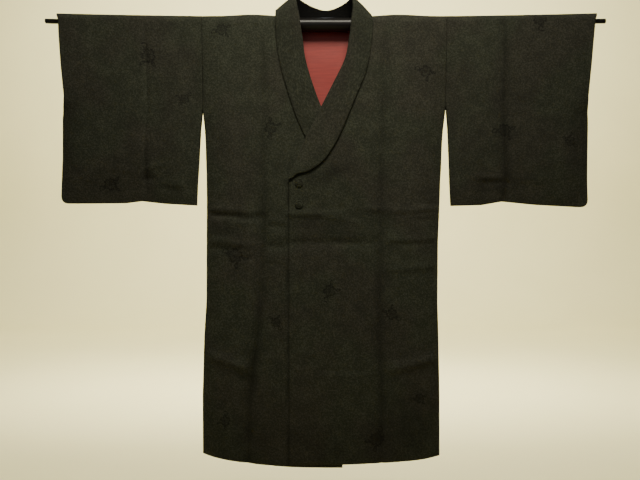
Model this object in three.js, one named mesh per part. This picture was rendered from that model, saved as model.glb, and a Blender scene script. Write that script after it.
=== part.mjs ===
// A woman's kimono coat with a shawl collar, hung through both sleeves on a plain round rod.
// Millimetres, +Z up. The front faces -Y and the wearer's left is +X. The origin is the middle of the rod's
// axis.
//
// The coat is cut as such coats are: one loom width of cloth for each half of the body, laid over the
// shoulder without a seam there, one for each sleeve, a long folded band for the collar, and a lining
// across the upper back. A point of the cloth is given by x, and by s, the length of cloth from the
// shoulder fold: minus to the front, plus to the back. hang() says where that point lies on the rod.
import * as THREE from "three";

// ------------------------------------------------------------------------------------ sizes

const ROD = { radius: 17, halfLength: 662, pinRadius: 6, pinLength: 38, sides: 24, lengths: 8 };
const SAG = 8.5; // how far the rod hangs lower in its middle than at its ends

const WALL = 1.4; // the outer cloth
const COLLAR_WALL = 1.6; // two layers of it, pressed together
const COLLAR_REST = 1.1; // how far the collar's seam edge lies off the body's cloth
const LINING_WALL = 1.0;
const SEAM_GAP = 0.3; // between pieces that are sewn together
const SURFACE_REACH = 2; // how far round a point its cloth's direction is taken

// The cloth over the rod is half an ellipse that rests on the rod's top and stands off its sides.
const ARCH_DEPTH = 21;
const ARCH_HEIGHT = ROD.radius + SEAM_GAP + WALL / 2 + 0.4;
// A quarter of the ellipse's way round.
const ARCH_LENGTH = (Math.PI / 4) * (3 * (ARCH_DEPTH + ARCH_HEIGHT)
  - Math.sqrt((3 * ARCH_DEPTH + ARCH_HEIGHT) * (ARCH_DEPTH + 3 * ARCH_HEIGHT)));
const ARCH_STEPS = 8;

const ARMHOLE_END = -215; // z where the sleeve's seam ends under the arm
const SIDE_SEAM_TOP = -315; // z where the body's side seam begins, below the opening under the arm
const UNDERARM_DEPTH = 6; // half of the opening there
const SEAM_DEPTH = WALL / 2 + SEAM_GAP / 2; // half of the depth where two edges are sewn together
const SIDE_PINCH = 75; // how far in from the side seam the body reaches its full depth

const NECK_HALF = 88; // half of the neck opening, along the shoulder fold
// On each shoulder, beside the neck, the cloth stands a little off the rod.
const SHOULDER_HUMP = { x: 180, width: 60, height: 5.2 };
const BUTTON = { radius: 10, height: 5, x: -65, levels: [-397, -450], sides: 20 };
// The button's outline from its foot over its rim to its top, as shares of its radius and height.
const BUTTON_OUTLINE = [
  { out: 0, up: 0 }, { out: 0.8, up: 0 }, { out: 1, up: 0.27 }, { out: 0.96, up: 0.45 },
  { out: 0.8, up: 0.76 }, { out: 0.45, up: 0.95 }, { out: 0, up: 1 },
];

// The body's outline: x at each level of z. The left front crosses over the right one, to x below zero.
const BODY_OUTLINE = [
  { z: 0, leftSide: 300, rightSide: -306, leftFront: 89, rightFront: -89 },
  { z: -40, leftSide: 300, rightSide: -306, leftFront: 84, rightFront: -82 },
  { z: -100, leftSide: 300, rightSide: -306, leftFront: 73, rightFront: -66 },
  { z: -160, leftSide: 300, rightSide: -306, leftFront: 44, rightFront: -50 },
  { z: -205, leftSide: 300, rightSide: -306, leftFront: 22, rightFront: -33 },
  { z: -215, leftSide: 299, rightSide: -306, leftFront: 17, rightFront: -30 },
  { z: -265, leftSide: 293.5, rightSide: -301, leftFront: -8, rightFront: -7 },
  { z: -302, leftSide: 291, rightSide: -299, leftFront: -28, rightFront: 10 },
  { z: -335, leftSide: 290, rightSide: -298.3, leftFront: -48, rightFront: 23 },
  { z: -360, leftSide: 289, rightSide: -297.5, leftFront: -65, rightFront: 34 },
  { z: -392, leftSide: 287, rightSide: -296.7, leftFront: -91, rightFront: 42 },
  { z: -440, leftSide: 285.5, rightSide: -296, leftFront: -91, rightFront: 42 },
  { z: -550, leftSide: 281, rightSide: -296.5, leftFront: -91, rightFront: 42 },
  { z: -700, leftSide: 280, rightSide: -297, leftFront: -91, rightFront: 42 },
  { z: -790, leftSide: 282.5, rightSide: -302.5, leftFront: -91, rightFront: 42 },
  { z: -940, leftSide: 285, rightSide: -306.5, leftFront: -90, rightFront: 42 },
  { z: -1110, leftSide: 285, rightSide: -305.5, leftFront: -90, rightFront: 42 },
];

// How far each hem hangs below the rod's axis, at the middle of the coat and at its side seam.
const HEMS = {
  left: { front: { middle: 1092.5, side: 1077 }, back: { middle: 1085, side: 1077 } },
  right: { front: { middle: 1100.5, side: 1072 }, back: { middle: 1085, side: 1073 } },
};

// Where the fronts cross, the left one lifts off the rod's plane and the right one tucks in.
const CROSSING = [
  { z: -60, lift: 0, tuck: 0 },
  { z: -200, lift: 5, tuck: 3 },
  { z: -395, lift: 5, tuck: 3 },
  { z: -480, lift: 1.5, tuck: 1.5 },
  { z: -1110, lift: 1.5, tuck: 1.5 },
];
const LIFTED = { from: 130, to: 60 };
const TUCKED = { from: -110, to: -30 };

// Each sleeve: x of its inner and outer edge at each level of z, and the level of its bottom edge at each x.
const SLEEVE_OUTLINE = [
  { z: 20, leftInner: 300, leftOuter: 676, rightInner: -306, rightOuter: -669.5 },
  { z: 0, leftInner: 300, leftOuter: 667.5, rightInner: -306, rightOuter: -661 },
  { z: -40, leftInner: 300, leftOuter: 663.8, rightInner: -306, rightOuter: -659 },
  { z: -115, leftInner: 300, leftOuter: 657.8, rightInner: -306, rightOuter: -654 },
  { z: -190, leftInner: 300, leftOuter: 650.5, rightInner: -306, rightOuter: -647 },
  { z: -205, leftInner: 300.3, leftOuter: 651, rightInner: -306, rightOuter: -648.5 },
  { z: -215, leftInner: 301.5, leftOuter: 652, rightInner: -306.3, rightOuter: -651 },
  { z: -240, leftInner: 303.5, leftOuter: 655.5, rightInner: -308.5, rightOuter: -656 },
  { z: -265, leftInner: 305.5, leftOuter: 655.5, rightInner: -311, rightOuter: -656 },
  { z: -340, leftInner: 308.5, leftOuter: 654.5, rightInner: -315, rightOuter: -656 },
  { z: -400, leftInner: 310, leftOuter: 654, rightInner: -318.5, rightOuter: -658.5 },
  { z: -475, leftInner: 313, leftOuter: 656.5, rightInner: -320.5, rightOuter: -661 },
];
const SLEEVE_BOTTOMS = {
  left: [{ x: 300, z: -455 }, { x: 390, z: -453.5 }, { x: 440, z: -445.5 }, { x: 520, z: -455 },
    { x: 632, z: -463.5 }, { x: 660, z: -464.5 }],
  right: [{ x: -662, z: -455.5 }, { x: -500, z: -451 }, { x: -458, z: -445 }, { x: -400, z: -450.5 },
    { x: -318, z: -454 }],
};
const SLEEVE_CORNER = 18; // radius of the rounded outer corner
const SLEEVE_LOWEST = -475; // below every sleeve's bottom edge
const SLEEVE_LOW_DEPTH = 15; // half of the sleeve's depth just above where it closes
const SLEEVE_CLOSING = 150; // height over which the sleeve closes to its bottom seam
const CUFF_CLOSING = 60; // width over which it closes to its outer seam
// The levels between which the cuff's opening ends.
const CUFF_END = { from: ARMHOLE_END + 20, to: ARMHOLE_END - 25 };
const FOLD_ROOM = SLEEVE_LOW_DEPTH / 2; // a fold has its full height where the cloth is this deep

// The largest folds: long, soft ridges (height above zero) and troughs (below zero) on straight lines.
const FOLDS = {
  front: [
    { fromX: 148, fromZ: -70, toX: 138, toZ: -540, width: 14, height: -2.2 },
    { fromX: 137, fromZ: -540, toX: 141, toZ: -1060, width: 14, height: -2.2 },
    { fromX: -100, fromZ: -475, toX: 60, toZ: -476, width: 9, height: 2.4 },
    { fromX: 100, fromZ: -461, toX: 292, toZ: -466, width: 9, height: 2.2 },
    { fromX: -150, fromZ: -552, toX: 150, toZ: -544, width: 14, height: -2.4 },
    { fromX: 155, fromZ: -539, toX: 288, toZ: -535, width: 10, height: 2.4 },
    { fromX: 150, fromZ: -858, toX: 288, toZ: -828, width: 14, height: 3.6 },
    { fromX: -158, fromZ: -70, toX: -160, toZ: -700, width: 16, height: -2.6 },
    { fromX: -162, fromZ: -700, toX: -190, toZ: -1060, width: 16, height: -2.4 },
    { fromX: -300, fromZ: -462, toX: -190, toZ: -468, width: 9, height: 2.2 },
    { fromX: -296, fromZ: -478, toX: -130, toZ: -486, width: 9, height: -2.4 },
    { fromX: -300, fromZ: -541, toX: -200, toZ: -548, width: 10, height: 2.2 },
    { fromX: -300, fromZ: -821, toX: -188, toZ: -855, width: 14, height: 3.6 },
  ],
  back: [
    { fromX: 148, fromZ: -60, toX: 147, toZ: -1050, width: 14, height: -2 },
    { fromX: -156, fromZ: -60, toX: -160, toZ: -1050, width: 14, height: -2 },
    { fromX: -290, fromZ: -470, toX: 275, toZ: -474, width: 14, height: -2 },
    { fromX: -290, fromZ: -850, toX: 275, toZ: -842, width: 18, height: -2.4 },
  ],
  leftSleeve: [{ fromX: 439, fromZ: -30, toX: 441, toZ: -430, width: 12, height: -1.8 }],
  rightSleeve: [{ fromX: -441, fromZ: -60, toX: -450, toZ: -430, width: 12, height: 1.8 }],
};

// The collar from the end on the left front, round the neck, to the end on the right front. Each section has
// its seam and its free edge at x and s on the body, its roll at x and s lifted off it, and a radius.
const COLLAR_COLUMNS = [
  "seamX", "seamS", "rollX", "rollS", "rollLift", "edgeX", "edgeS", "edgeLift", "radius",
];
const COLLAR = [
  [-85, -418, -91, -420, 3.2, -80, -415, 4.6, 1.2],
  [-77, -404, -88, -403, 3, -68, -406, 5, 1.2],
  [-61, -388, -77, -384, 2.7, -38, -397, 5.6, 1.2],
  [-42, -364, -65, -357, 2.8, -7, -375, 5.8, 1.2],
  [-23, -333, -51, -324, 3, 14, -347, 5.8, 1.2],
  [-3, -296, -31, -284, 3, 32, -316, 5.6, 1.2],
  [20, -252, -9, -239, 3.2, 51, -273, 5.4, 1.2],
  [49, -191, 21.5, -179, 3.4, 77, -209, 5, 1.3],
  [77, -134, 48.5, -122, 3.6, 100.5, -150, 4.4, 1.4],
  [87, -76, 59, -68, 5, 113, -86, 3.8, 1.8],
  [92, -36, 65, -22, 10, 117.5, -40, 3.2, 2.4],
  [93, -14, 69, -9, 32, 115, -14, 2.6, 3],
  [92, 3, 67, -1, 50, 112.5, 8, 2.4, 3],
  [76, 21, 57.5, 5, 47, 91, 36, 2.4, 3],
  [42, 32, 33, 10, 40, 50, 50, 2.6, 3],
  [0, 35, 2, 12, 34, 0, 55, 2.8, 3],
  [-42, 32, -31, 10, 40, -50, 50, 3, 3],
  [-76, 21, -61, 5, 48, -94, 36, 6, 3],
  [-92, 3, -78, -1, 52, -124, 8, 13, 3],
  [-93, -14, -72, -9, 32, -124, -14, 10, 3],
  [-91, -36, -65, -22, 10, -123, -42, 4.6, 2.4],
  [-84, -76, -57, -70, 5, -120, -88, 3.4, 1.8],
  [-70, -128, -50, -122, 3.6, -111, -138, 3.4, 1.4],
  [-55, -187, -33.5, -179, 3, -94, -200, 3.4, 1.2],
  [-33, -247, -11, -239, 2.6, -74, -260, 3, 1.2],
  [-12, -293, 14, -284, 2.4, -54, -306, 2.4, 1.2],
  [5, -331, 32, -322, 2.3, -35, -343, 2.3, 1.2],
  [18, -363, 40, -358, 2.3, -17, -371, 2.3, 1.2],
  [30, -390, 44, -387, 2.3, 8, -393, 2.3, 1.2],
  [38, -408, 46, -409, 2.3, 26, -406, 2.3, 1.2],
  [41, -421, 46, -424, 2.3, 36, -416, 2.3, 1.2],
].map((row) => Object.fromEntries(COLLAR_COLUMNS.map((column, i) => [column, row[i]])));
const COLLAR_SECTIONS = 58; // sections made between the first and the last one
const COLLAR_BULGE = 1.6; // how far the fall curves out, between its roll and its free edge
const FALL_STEPS = 4;
const FOLD_STEPS = 3;

// How far the lining goes, as shares of the back panels' rows and of their outer columns.
const LINING = { highest: 0.004, lowest: 0.35, widest: 0.63 };

// Rows of the grids, as shares of the way from the rod's axis to the hem, close together at the large folds.
const FRONT_ROWS = [
  0.04, 0.08, 0.12, 0.16, 0.197, 0.24, 0.287, 0.33, 0.37, 0.4, 0.417, 0.428, 0.439, 0.47, 0.49, 0.5, 0.51,
  0.55, 0.6, 0.66, 0.71, 0.745, 0.77, 0.79, 0.815, 0.86, 0.91, 0.96, 1,
];
const BACK_ROWS = [
  0.06, 0.12, 0.197, 0.24, 0.287, 0.35, 0.41, 0.43, 0.45, 0.53, 0.62, 0.7, 0.75, 0.775, 0.8, 0.87, 0.94, 1,
];
const SLEEVE_FRONT_ROWS = [0.09, 0.18, 0.27, 0.36, 0.43, 0.48, 0.54, 0.62, 0.7, 0.78, 0.86, 0.93, 0.97, 1];
const SLEEVE_BACK_ROWS = [0.1, 0.22, 0.34, 0.43, 0.48, 0.54, 0.65, 0.76, 0.87, 0.95, 1];
// Columns, as shares of the way from the front edge or the centre back to the crease, and on to the side.
const CREASE_X = { left: 147, right: -160 };
const INNER_COLUMNS = [0, 0.15, 0.3, 0.45, 0.6, 0.76, 0.9, 1];
const OUTER_COLUMNS = [0.14, 0.32, 0.48, 0.62, 0.75, 0.87, 1];
const SLEEVE_COLUMNS = [0, 0.09, 0.2, 0.31, 0.37, 0.4, 0.43, 0.55, 0.7, 0.82, 0.9, 0.945, 0.975, 1];

const COAT_CLOTH = new THREE.MeshStandardMaterial({ color: 0x24241d, roughness: 0.82, metalness: 0 });
const LINING_CLOTH = new THREE.MeshStandardMaterial({ color: 0xa83c36, roughness: 0.6, metalness: 0 });
const BLACK_LACQUER = new THREE.MeshStandardMaterial({ color: 0x0c0b0a, roughness: 0.16, metalness: 0 });

// ------------------------------------------------------------------------------------ helpers

const clamp01 = (value) => Math.min(1, Math.max(0, value));
const mix = (a, b, share) => a + (b - a) * share;
const smooth = (share) => share * share * (3 - 2 * share);
// 0 at from and 1 at to, with a soft start and end; from may be the larger.
const ramp = (value, from, to) => smooth(clamp01((value - from) / (to - from)));
// A half parabola: it leaves 0 at a slope of two and comes level with 1.
const bow = (share) => 1 - (1 - clamp01(share)) ** 2;

// The value of a column at a place between a table's rows, which are in order of their key.
function lookUp(rows, key, column, at) {
  const falling = rows[0][key] > rows[rows.length - 1][key];
  const next = rows.findIndex((row) => (falling ? row[key] <= at : row[key] >= at));
  if (next === 0) return rows[0][column];
  if (next < 0) return rows[rows.length - 1][column];
  const before = rows[next - 1];
  const after = rows[next];
  return mix(before[column], after[column], (at - before[key]) / (after[key] - before[key]));
}

// How far the folds of a panel push the point (x, z) outwards.
function foldHeight(folds, x, z) {
  let height = 0;
  for (const fold of folds) {
    const alongX = fold.toX - fold.fromX;
    const alongZ = fold.toZ - fold.fromZ;
    const length = Math.hypot(alongX, alongZ);
    const along = ((x - fold.fromX) * alongX + (z - fold.fromZ) * alongZ) / length;
    const across = ((x - fold.fromX) * alongZ - (z - fold.fromZ) * alongX) / length;
    const start = ramp(along, -fold.width, fold.width * 2);
    const end = ramp(along, length + fold.width, length - fold.width * 2);
    height += fold.height * start * end * Math.exp(-((across / fold.width) ** 2));
  }
  return height;
}

// ------------------------------------------------------------------------------------ how the cloth hangs

// How much higher the rod, and all that hangs on it, lies at x than in its middle.
const rise = (x) => SAG * (x / ROD.halfLength) ** 2;

const shoulderHump = (x) => SHOULDER_HUMP.height
  * Math.exp(-(((Math.abs(x) - SHOULDER_HUMP.x) / SHOULDER_HUMP.width) ** 2));

// Half of the coat's depth along the side seams and armholes.
function edgeDepth(z) {
  const armhole = mix(ARCH_DEPTH, UNDERARM_DEPTH, ramp(z, 0, ARMHOLE_END));
  return mix(armhole, SEAM_DEPTH, ramp(z, ARMHOLE_END, SIDE_SEAM_TOP));
}

// Half of the body's depth: full across the middle, and pinched to the side seams.
function bodyDepth(x, z) {
  const side = lookUp(BODY_OUTLINE, "z", x > 0 ? "leftSide" : "rightSide", z);
  return mix(edgeDepth(z), ARCH_DEPTH, bow((Math.abs(side) - Math.abs(x)) / SIDE_PINCH));
}

// How far in front of the rod's axis a front panel lies, with its folds and the room that the crossing needs.
function frontDepth(half, x, z) {
  const folds = foldHeight(FOLDS.front, x, z) * ramp(bodyDepth(x, z), SEAM_DEPTH, FOLD_ROOM);
  const room = half === "left"
    ? lookUp(CROSSING, "z", "lift", z) * ramp(x, LIFTED.from, LIFTED.to)
    : -lookUp(CROSSING, "z", "tuck", z) * ramp(x, TUCKED.from, TUCKED.to);
  return bodyDepth(x, z) + folds + room;
}

function backDepth(x, z) {
  return bodyDepth(x, z) + foldHeight(FOLDS.back, x, z) * ramp(bodyDepth(x, z), SEAM_DEPTH, FOLD_ROOM);
}

// Where a point of the body's cloth lies: over the rod for a short s, and hanging down beyond that.
function hang(half, x, s) {
  if (Math.abs(s) < ARCH_LENGTH) {
    const angle = (s / ARCH_LENGTH) * (Math.PI / 2);
    const height = (ARCH_HEIGHT + shoulderHump(x)) * Math.cos(angle);
    return new THREE.Vector3(x, ARCH_DEPTH * Math.sin(angle), height + rise(x));
  }
  const z = ARCH_LENGTH - Math.abs(s);
  return new THREE.Vector3(x, s < 0 ? -frontDepth(half, x, z) : backDepth(x, z), z + rise(x));
}

// A point lifted off the outside of the body's cloth.
function offBody(half, x, s, lift) {
  const across = hang(half, x + SURFACE_REACH, s).sub(hang(half, x - SURFACE_REACH, s));
  const along = hang(half, x, s + SURFACE_REACH).sub(hang(half, x, s - SURFACE_REACH));
  const outward = across.cross(along).normalize();
  return hang(half, x, s).addScaledVector(outward, WALL / 2 + lift);
}

// Half of the sleeve's depth: it closes to its bottom seam and, below the cuff, to its outer seam.
function sleeveDepth(half, x, z) {
  const inner = Math.abs(lookUp(SLEEVE_OUTLINE, "z", half + "Inner", z));
  const outer = Math.abs(lookUp(SLEEVE_OUTLINE, "z", half + "Outer", z));
  const bottom = lookUp(SLEEVE_BOTTOMS[half], "x", "z", x);
  const closing = bow((z - bottom) / SLEEVE_CLOSING);
  const cuff = mix(1, bow((outer - Math.abs(x)) / CUFF_CLOSING), ramp(z, CUFF_END.from, CUFF_END.to));
  const open = mix(ARCH_DEPTH, SLEEVE_LOW_DEPTH, ramp(z, 0, bottom));
  const own = mix(SEAM_DEPTH, open, closing * cuff);
  const furi = mix(SEAM_DEPTH, UNDERARM_DEPTH, closing);
  const atBody = z > ARMHOLE_END ? edgeDepth(z) : furi;
  return mix(atBody, own, ramp(Math.abs(x) - inner, 0, SIDE_PINCH));
}

// ------------------------------------------------------------------------------------ solids

// A closed wall round a grid of middle points, with half of its thickness on each side.
function wall(grid, thickness) {
  const rowCount = grid.length;
  const columnCount = grid[0].length;
  const positions = [];
  for (const side of [0.5, -0.5]) {
    grid.forEach((row, i) => row.forEach((point, j) => {
      const along = grid[Math.min(i + 1, rowCount - 1)][j].clone().sub(grid[Math.max(i - 1, 0)][j]);
      const across = row[Math.min(j + 1, columnCount - 1)].clone().sub(row[Math.max(j - 1, 0)]);
      const outward = across.cross(along).normalize();
      positions.push(...point.clone().addScaledVector(outward, side * thickness).toArray());
    }));
  }
  const at = (side, i, j) => (side * rowCount + i) * columnCount + j;
  const index = [];
  const quad = (a, b, c, d) => index.push(a, b, c, a, c, d);
  for (let i = 0; i < rowCount - 1; i += 1) {
    for (let j = 0; j < columnCount - 1; j += 1) {
      quad(at(0, i, j), at(0, i, j + 1), at(0, i + 1, j + 1), at(0, i + 1, j));
      quad(at(1, i, j), at(1, i + 1, j), at(1, i + 1, j + 1), at(1, i, j + 1));
    }
    const last = columnCount - 1;
    quad(at(0, i, 0), at(0, i + 1, 0), at(1, i + 1, 0), at(1, i, 0));
    quad(at(0, i, last), at(1, i, last), at(1, i + 1, last), at(0, i + 1, last));
  }
  for (let j = 0; j < columnCount - 1; j += 1) {
    const last = rowCount - 1;
    quad(at(0, 0, j), at(1, 0, j), at(1, 0, j + 1), at(0, 0, j + 1));
    quad(at(0, last, j), at(0, last, j + 1), at(1, last, j + 1), at(1, last, j));
  }
  const geometry = new THREE.BufferGeometry();
  geometry.setAttribute("position", new THREE.Float32BufferAttribute(positions, 3));
  geometry.setIndex(index);
  geometry.computeVertexNormals();
  return geometry;
}

function piece(name, geometry, material) {
  const mesh = new THREE.Mesh(geometry, material);
  mesh.name = name;
  return mesh;
}

// The rod, bent a little by its own weight, with a thinner pin at each end that its stand holds.
function rod() {
  const end = ROD.halfLength + ROD.pinLength;
  const shaft = Array.from({ length: ROD.lengths + 1 }, (_, i) =>
    [ROD.radius, mix(-ROD.halfLength, ROD.halfLength, i / ROD.lengths)]);
  const profile = [[0, -end], [ROD.pinRadius, -end], [ROD.pinRadius, -ROD.halfLength], ...shaft,
    [ROD.pinRadius, ROD.halfLength], [ROD.pinRadius, end], [0, end]];
  const geometry = new THREE.LatheGeometry(profile.map(([x, y]) => new THREE.Vector2(x, y)), ROD.sides);
  geometry.rotateZ(-Math.PI / 2);
  const points = geometry.attributes.position;
  for (let i = 0; i < points.count; i += 1) points.setZ(i, points.getZ(i) + rise(points.getX(i)));
  return piece("rod", geometry, BLACK_LACQUER);
}

// A row of points across one half of the body, from right to left: close together towards the inner edge.
function bodyRow(half, inner, side, place) {
  const columns = INNER_COLUMNS.map((share) => mix(inner, CREASE_X[half], share))
    .concat(OUTER_COLUMNS.map((share) => mix(CREASE_X[half], side, share)));
  return (half === "left" ? columns : columns.reverse()).map(place);
}

const centreSeam = (half) => (half === "left" ? SEAM_GAP / 2 : -SEAM_GAP / 2);

// The side edge of one half: its side seam, or the edge that the sleeve is sewn to.
function sideEdge(half, z) {
  return lookUp(BODY_OUTLINE, "z", half + "Side", z) - Math.sign(centreSeam(half)) * SEAM_GAP;
}

// One row of a panel: each of its points hangs at the same share of its own way down to the hem.
function panelRow(half, face, share) {
  const { middle, side } = HEMS[half][face];
  const level = (-share * (middle + side)) / 2;
  const inner = face === "front" ? lookUp(BODY_OUTLINE, "z", half + "Front", level) : centreSeam(half);
  const outer = sideEdge(half, level);
  return bodyRow(half, inner, outer, (x) => {
    const z = -share * mix(middle, side, clamp01(x / outer) ** 2);
    return hang(half, x, (face === "front" ? -1 : 1) * (ARCH_LENGTH - z));
  });
}

// Half of the body: front and back in one length of cloth, cut out at the neck.
function bodyHalf(half) {
  const frontEdge = Math.abs(lookUp(BODY_OUTLINE, "z", half + "Front", 0));
  const sign = half === "left" ? 1 : -1;
  const archRow = (step) => {
    const s = (step / (ARCH_STEPS / 2)) * ARCH_LENGTH;
    const neck = s <= 0 ? mix(NECK_HALF, frontEdge, -s / ARCH_LENGTH)
      : Math.max(NECK_HALF * Math.sqrt(1 - (s / ARCH_LENGTH) ** 2), SEAM_GAP / 2);
    return bodyRow(half, neck * sign, sideEdge(half, 0), (x) => hang(half, x, s));
  };

  const grid = [
    ...FRONT_ROWS.toReversed().map((share) => panelRow(half, "front", share)),
    ...Array.from({ length: ARCH_STEPS + 1 }, (_, i) => archRow(i - ARCH_STEPS / 2)),
    ...BACK_ROWS.map((share) => panelRow(half, "back", share)),
  ];
  return piece("body_" + half, wall(grid, WALL), COAT_CLOTH);
}

// A sleeve: one length of cloth over the rod, sewn together along its bottom and below the cuff.
function sleeve(half) {
  const sign = half === "left" ? 1 : -1;
  const folds = FOLDS[half + "Sleeve"];

  const columnX = (share, z) => {
    const inner = lookUp(SLEEVE_OUTLINE, "z", half + "Inner", z) + SEAM_GAP * sign;
    return mix(inner, lookUp(SLEEVE_OUTLINE, "z", half + "Outer", z), share);
  };
  const bottomAt = (x, outer) => {
    const toCorner = SLEEVE_CORNER - clamp01(Math.abs(outer - x) / SLEEVE_CORNER) * SLEEVE_CORNER;
    const round = SLEEVE_CORNER - Math.sqrt(SLEEVE_CORNER ** 2 - toCorner ** 2);
    return lookUp(SLEEVE_BOTTOMS[half], "x", "z", x) + round;
  };
  const columns = half === "left" ? SLEEVE_COLUMNS : SLEEVE_COLUMNS.toReversed();
  const lowestOuter = lookUp(SLEEVE_OUTLINE, "z", half + "Outer", SLEEVE_LOWEST);
  const panelRow = (face, share) => columns.map((column) => {
    const bottom = bottomAt(columnX(column, SLEEVE_LOWEST), lowestOuter);
    const z = share * bottom;
    const x = columnX(column, z);
    const depth = sleeveDepth(half, x, z);
    const fold = foldHeight(folds, x, z) * ramp(depth, SEAM_DEPTH, FOLD_ROOM);
    return new THREE.Vector3(x, face * (depth + fold), z + rise(x));
  });
  const archRow = (step) => {
    const angle = (step / ARCH_STEPS) * Math.PI;
    const z = ARCH_HEIGHT * Math.cos(angle);
    return columns.map((column) => {
      const x = columnX(column, z);
      return new THREE.Vector3(x, ARCH_DEPTH * Math.sin(angle), z + rise(x));
    });
  };

  const grid = [
    ...SLEEVE_FRONT_ROWS.toReversed().map((share) => panelRow(-1, share)),
    ...Array.from({ length: ARCH_STEPS + 1 }, (_, i) => archRow(i - ARCH_STEPS / 2)),
    ...SLEEVE_BACK_ROWS.map((share) => panelRow(1, share)),
  ];
  return piece("sleeve_" + half, wall(grid, WALL), COAT_CLOTH);
}

// The collar: a folded band. Each section goes up from the seam, over the roll and down to the free edge.
function collar() {
  const middle = COLLAR.findIndex((station) => station.seamX === 0) / (COLLAR.length - 1);
  // A line along the collar, worked out in x, s and lift, and then laid on the body.
  const guide = (xKey, sKey, liftOf) => {
    const flat = new THREE.CatmullRomCurve3(COLLAR.map((station) =>
      new THREE.Vector3(station[xKey], station[sKey], liftOf(station))));
    return (share) => {
      const { x, y: s, z: lift } = flat.getPoint(clamp01(share));
      return offBody(share <= middle ? "left" : "right", x, s, lift);
    };
  };
  const seamAt = guide("seamX", "seamS", () => COLLAR_REST + COLLAR_WALL / 2);
  const rollAt = guide("rollX", "rollS", (station) => station.rollLift);
  const edgeAt = guide("edgeX", "edgeS", (station) => station.edgeLift);
  const step = 0.5 / COLLAR_SECTIONS;

  const grid = Array.from({ length: COLLAR_SECTIONS + 1 }, (_, i) => {
    const share = i / COLLAR_SECTIONS;
    const place = share * (COLLAR.length - 1);
    const radius = mix(COLLAR[Math.floor(place)].radius, COLLAR[Math.ceil(place)].radius, place % 1);
    const seam = seamAt(share);
    const roll = rollAt(share);
    const edge = edgeAt(share);
    const up = roll.clone().sub(seam.clone().lerp(edge, 0.5)).normalize();
    const run = rollAt(share + step).sub(rollAt(share - step)).normalize();
    const out = run.cross(up).normalize();
    const centre = roll.clone().addScaledVector(up, -radius);
    const onRoll = (angle) => centre.clone()
      .addScaledVector(out, -radius * Math.cos(angle)).addScaledVector(up, radius * Math.sin(angle));
    const points = [seam, seam.clone().lerp(onRoll(0), 0.5)];
    for (let k = 0; k <= FOLD_STEPS; k += 1) points.push(onRoll((k / FOLD_STEPS) * Math.PI));
    const top = onRoll(Math.PI);
    for (let k = 1; k <= FALL_STEPS; k += 1) {
      const down = k / FALL_STEPS;
      points.push(top.clone().lerp(edge, down).addScaledVector(out, COLLAR_BULGE * 4 * down * (1 - down)));
    }
    return points;
  });
  return piece("collar", wall(grid, COLLAR_WALL), COAT_CLOTH);
}

// The lining across the upper back: the back panels' own points, moved in.
function backLining() {
  const inset = WALL / 2 + SEAM_GAP + LINING_WALL / 2;
  const rows = [LINING.highest, ...BACK_ROWS.filter((share) => share <= LINING.lowest)];
  const columns = OUTER_COLUMNS.filter((share) => share <= LINING.widest).length;
  const grid = rows.map((share) => {
    const left = panelRow("left", "back", share);
    const right = panelRow("right", "back", share);
    const cut = OUTER_COLUMNS.length - columns;
    const across = [...right.slice(cut, -1), ...left.slice(0, -cut)];
    return across.map((point) => point.add(new THREE.Vector3(0, -inset, 0)));
  });
  const faceUp = grid.toReversed().map((row) => row.toReversed());
  return piece("lining_back", wall(faceUp, LINING_WALL), LINING_CLOTH);
}

// A cloth-covered button on the left front: a low dome.
function button(name, level) {
  const { radius, height, x, sides } = BUTTON;
  const outline = BUTTON_OUTLINE.map(({ out, up }) => new THREE.Vector2(out * radius, up * height));
  const geometry = new THREE.LatheGeometry(outline, sides);
  const mesh = piece(name, geometry, COAT_CLOTH);
  const foot = offBody("left", x, level - ARCH_LENGTH, SEAM_GAP);
  const outward = offBody("left", x, level - ARCH_LENGTH, height).sub(foot).normalize();
  mesh.quaternion.setFromUnitVectors(new THREE.Vector3(0, 1, 0), outward);
  mesh.position.copy(foot);
  return mesh;
}

// ------------------------------------------------------------------------------------ the coat

const coat = new THREE.Group();
coat.add(rod(), bodyHalf("left"), bodyHalf("right"), sleeve("left"), sleeve("right"), collar(), backLining());
coat.add(button("button_upper", BUTTON.levels[0]), button("button_lower", BUTTON.levels[1]));

export default coat;
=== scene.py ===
import math
import bmesh
import bpy
from mathutils import Matrix, Vector, noise


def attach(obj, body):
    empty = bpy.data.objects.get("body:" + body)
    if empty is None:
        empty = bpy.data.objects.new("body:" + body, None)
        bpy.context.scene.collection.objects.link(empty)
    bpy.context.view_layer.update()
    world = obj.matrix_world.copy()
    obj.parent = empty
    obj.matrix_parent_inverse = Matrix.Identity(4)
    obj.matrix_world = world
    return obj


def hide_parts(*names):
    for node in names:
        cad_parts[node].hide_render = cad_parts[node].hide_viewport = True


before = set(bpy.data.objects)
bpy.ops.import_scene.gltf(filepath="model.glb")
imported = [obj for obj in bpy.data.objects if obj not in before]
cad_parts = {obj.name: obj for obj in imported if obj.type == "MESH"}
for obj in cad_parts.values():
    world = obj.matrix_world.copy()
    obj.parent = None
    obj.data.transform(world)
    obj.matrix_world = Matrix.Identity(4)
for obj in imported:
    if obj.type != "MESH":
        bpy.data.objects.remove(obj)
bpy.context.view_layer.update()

# ---- The view ---------------------------------------------------------------------------------
# The coat is looked at straight from the front, level, from the height of its middle.
# A soft light hangs high in front of it, as a ceiling light does, with a weaker one for the shadows,
# and others for the wall and the floor behind it and for the coat's back.
EYE = (-0.0135, -1.70, -0.5378)
SEEN_WIDTH = 1.60  # how much of the coat's plane the picture shows
eye = bpy.data.cameras.new("eye")
eye.sensor_width = 36
eye.lens = eye.sensor_width * -EYE[1] / SEEN_WIDTH


def placed(name, data):
    """Puts a new object in the scene."""
    thing = bpy.data.objects.new(name, data)
    bpy.context.scene.collection.objects.link(thing)
    return thing


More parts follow.
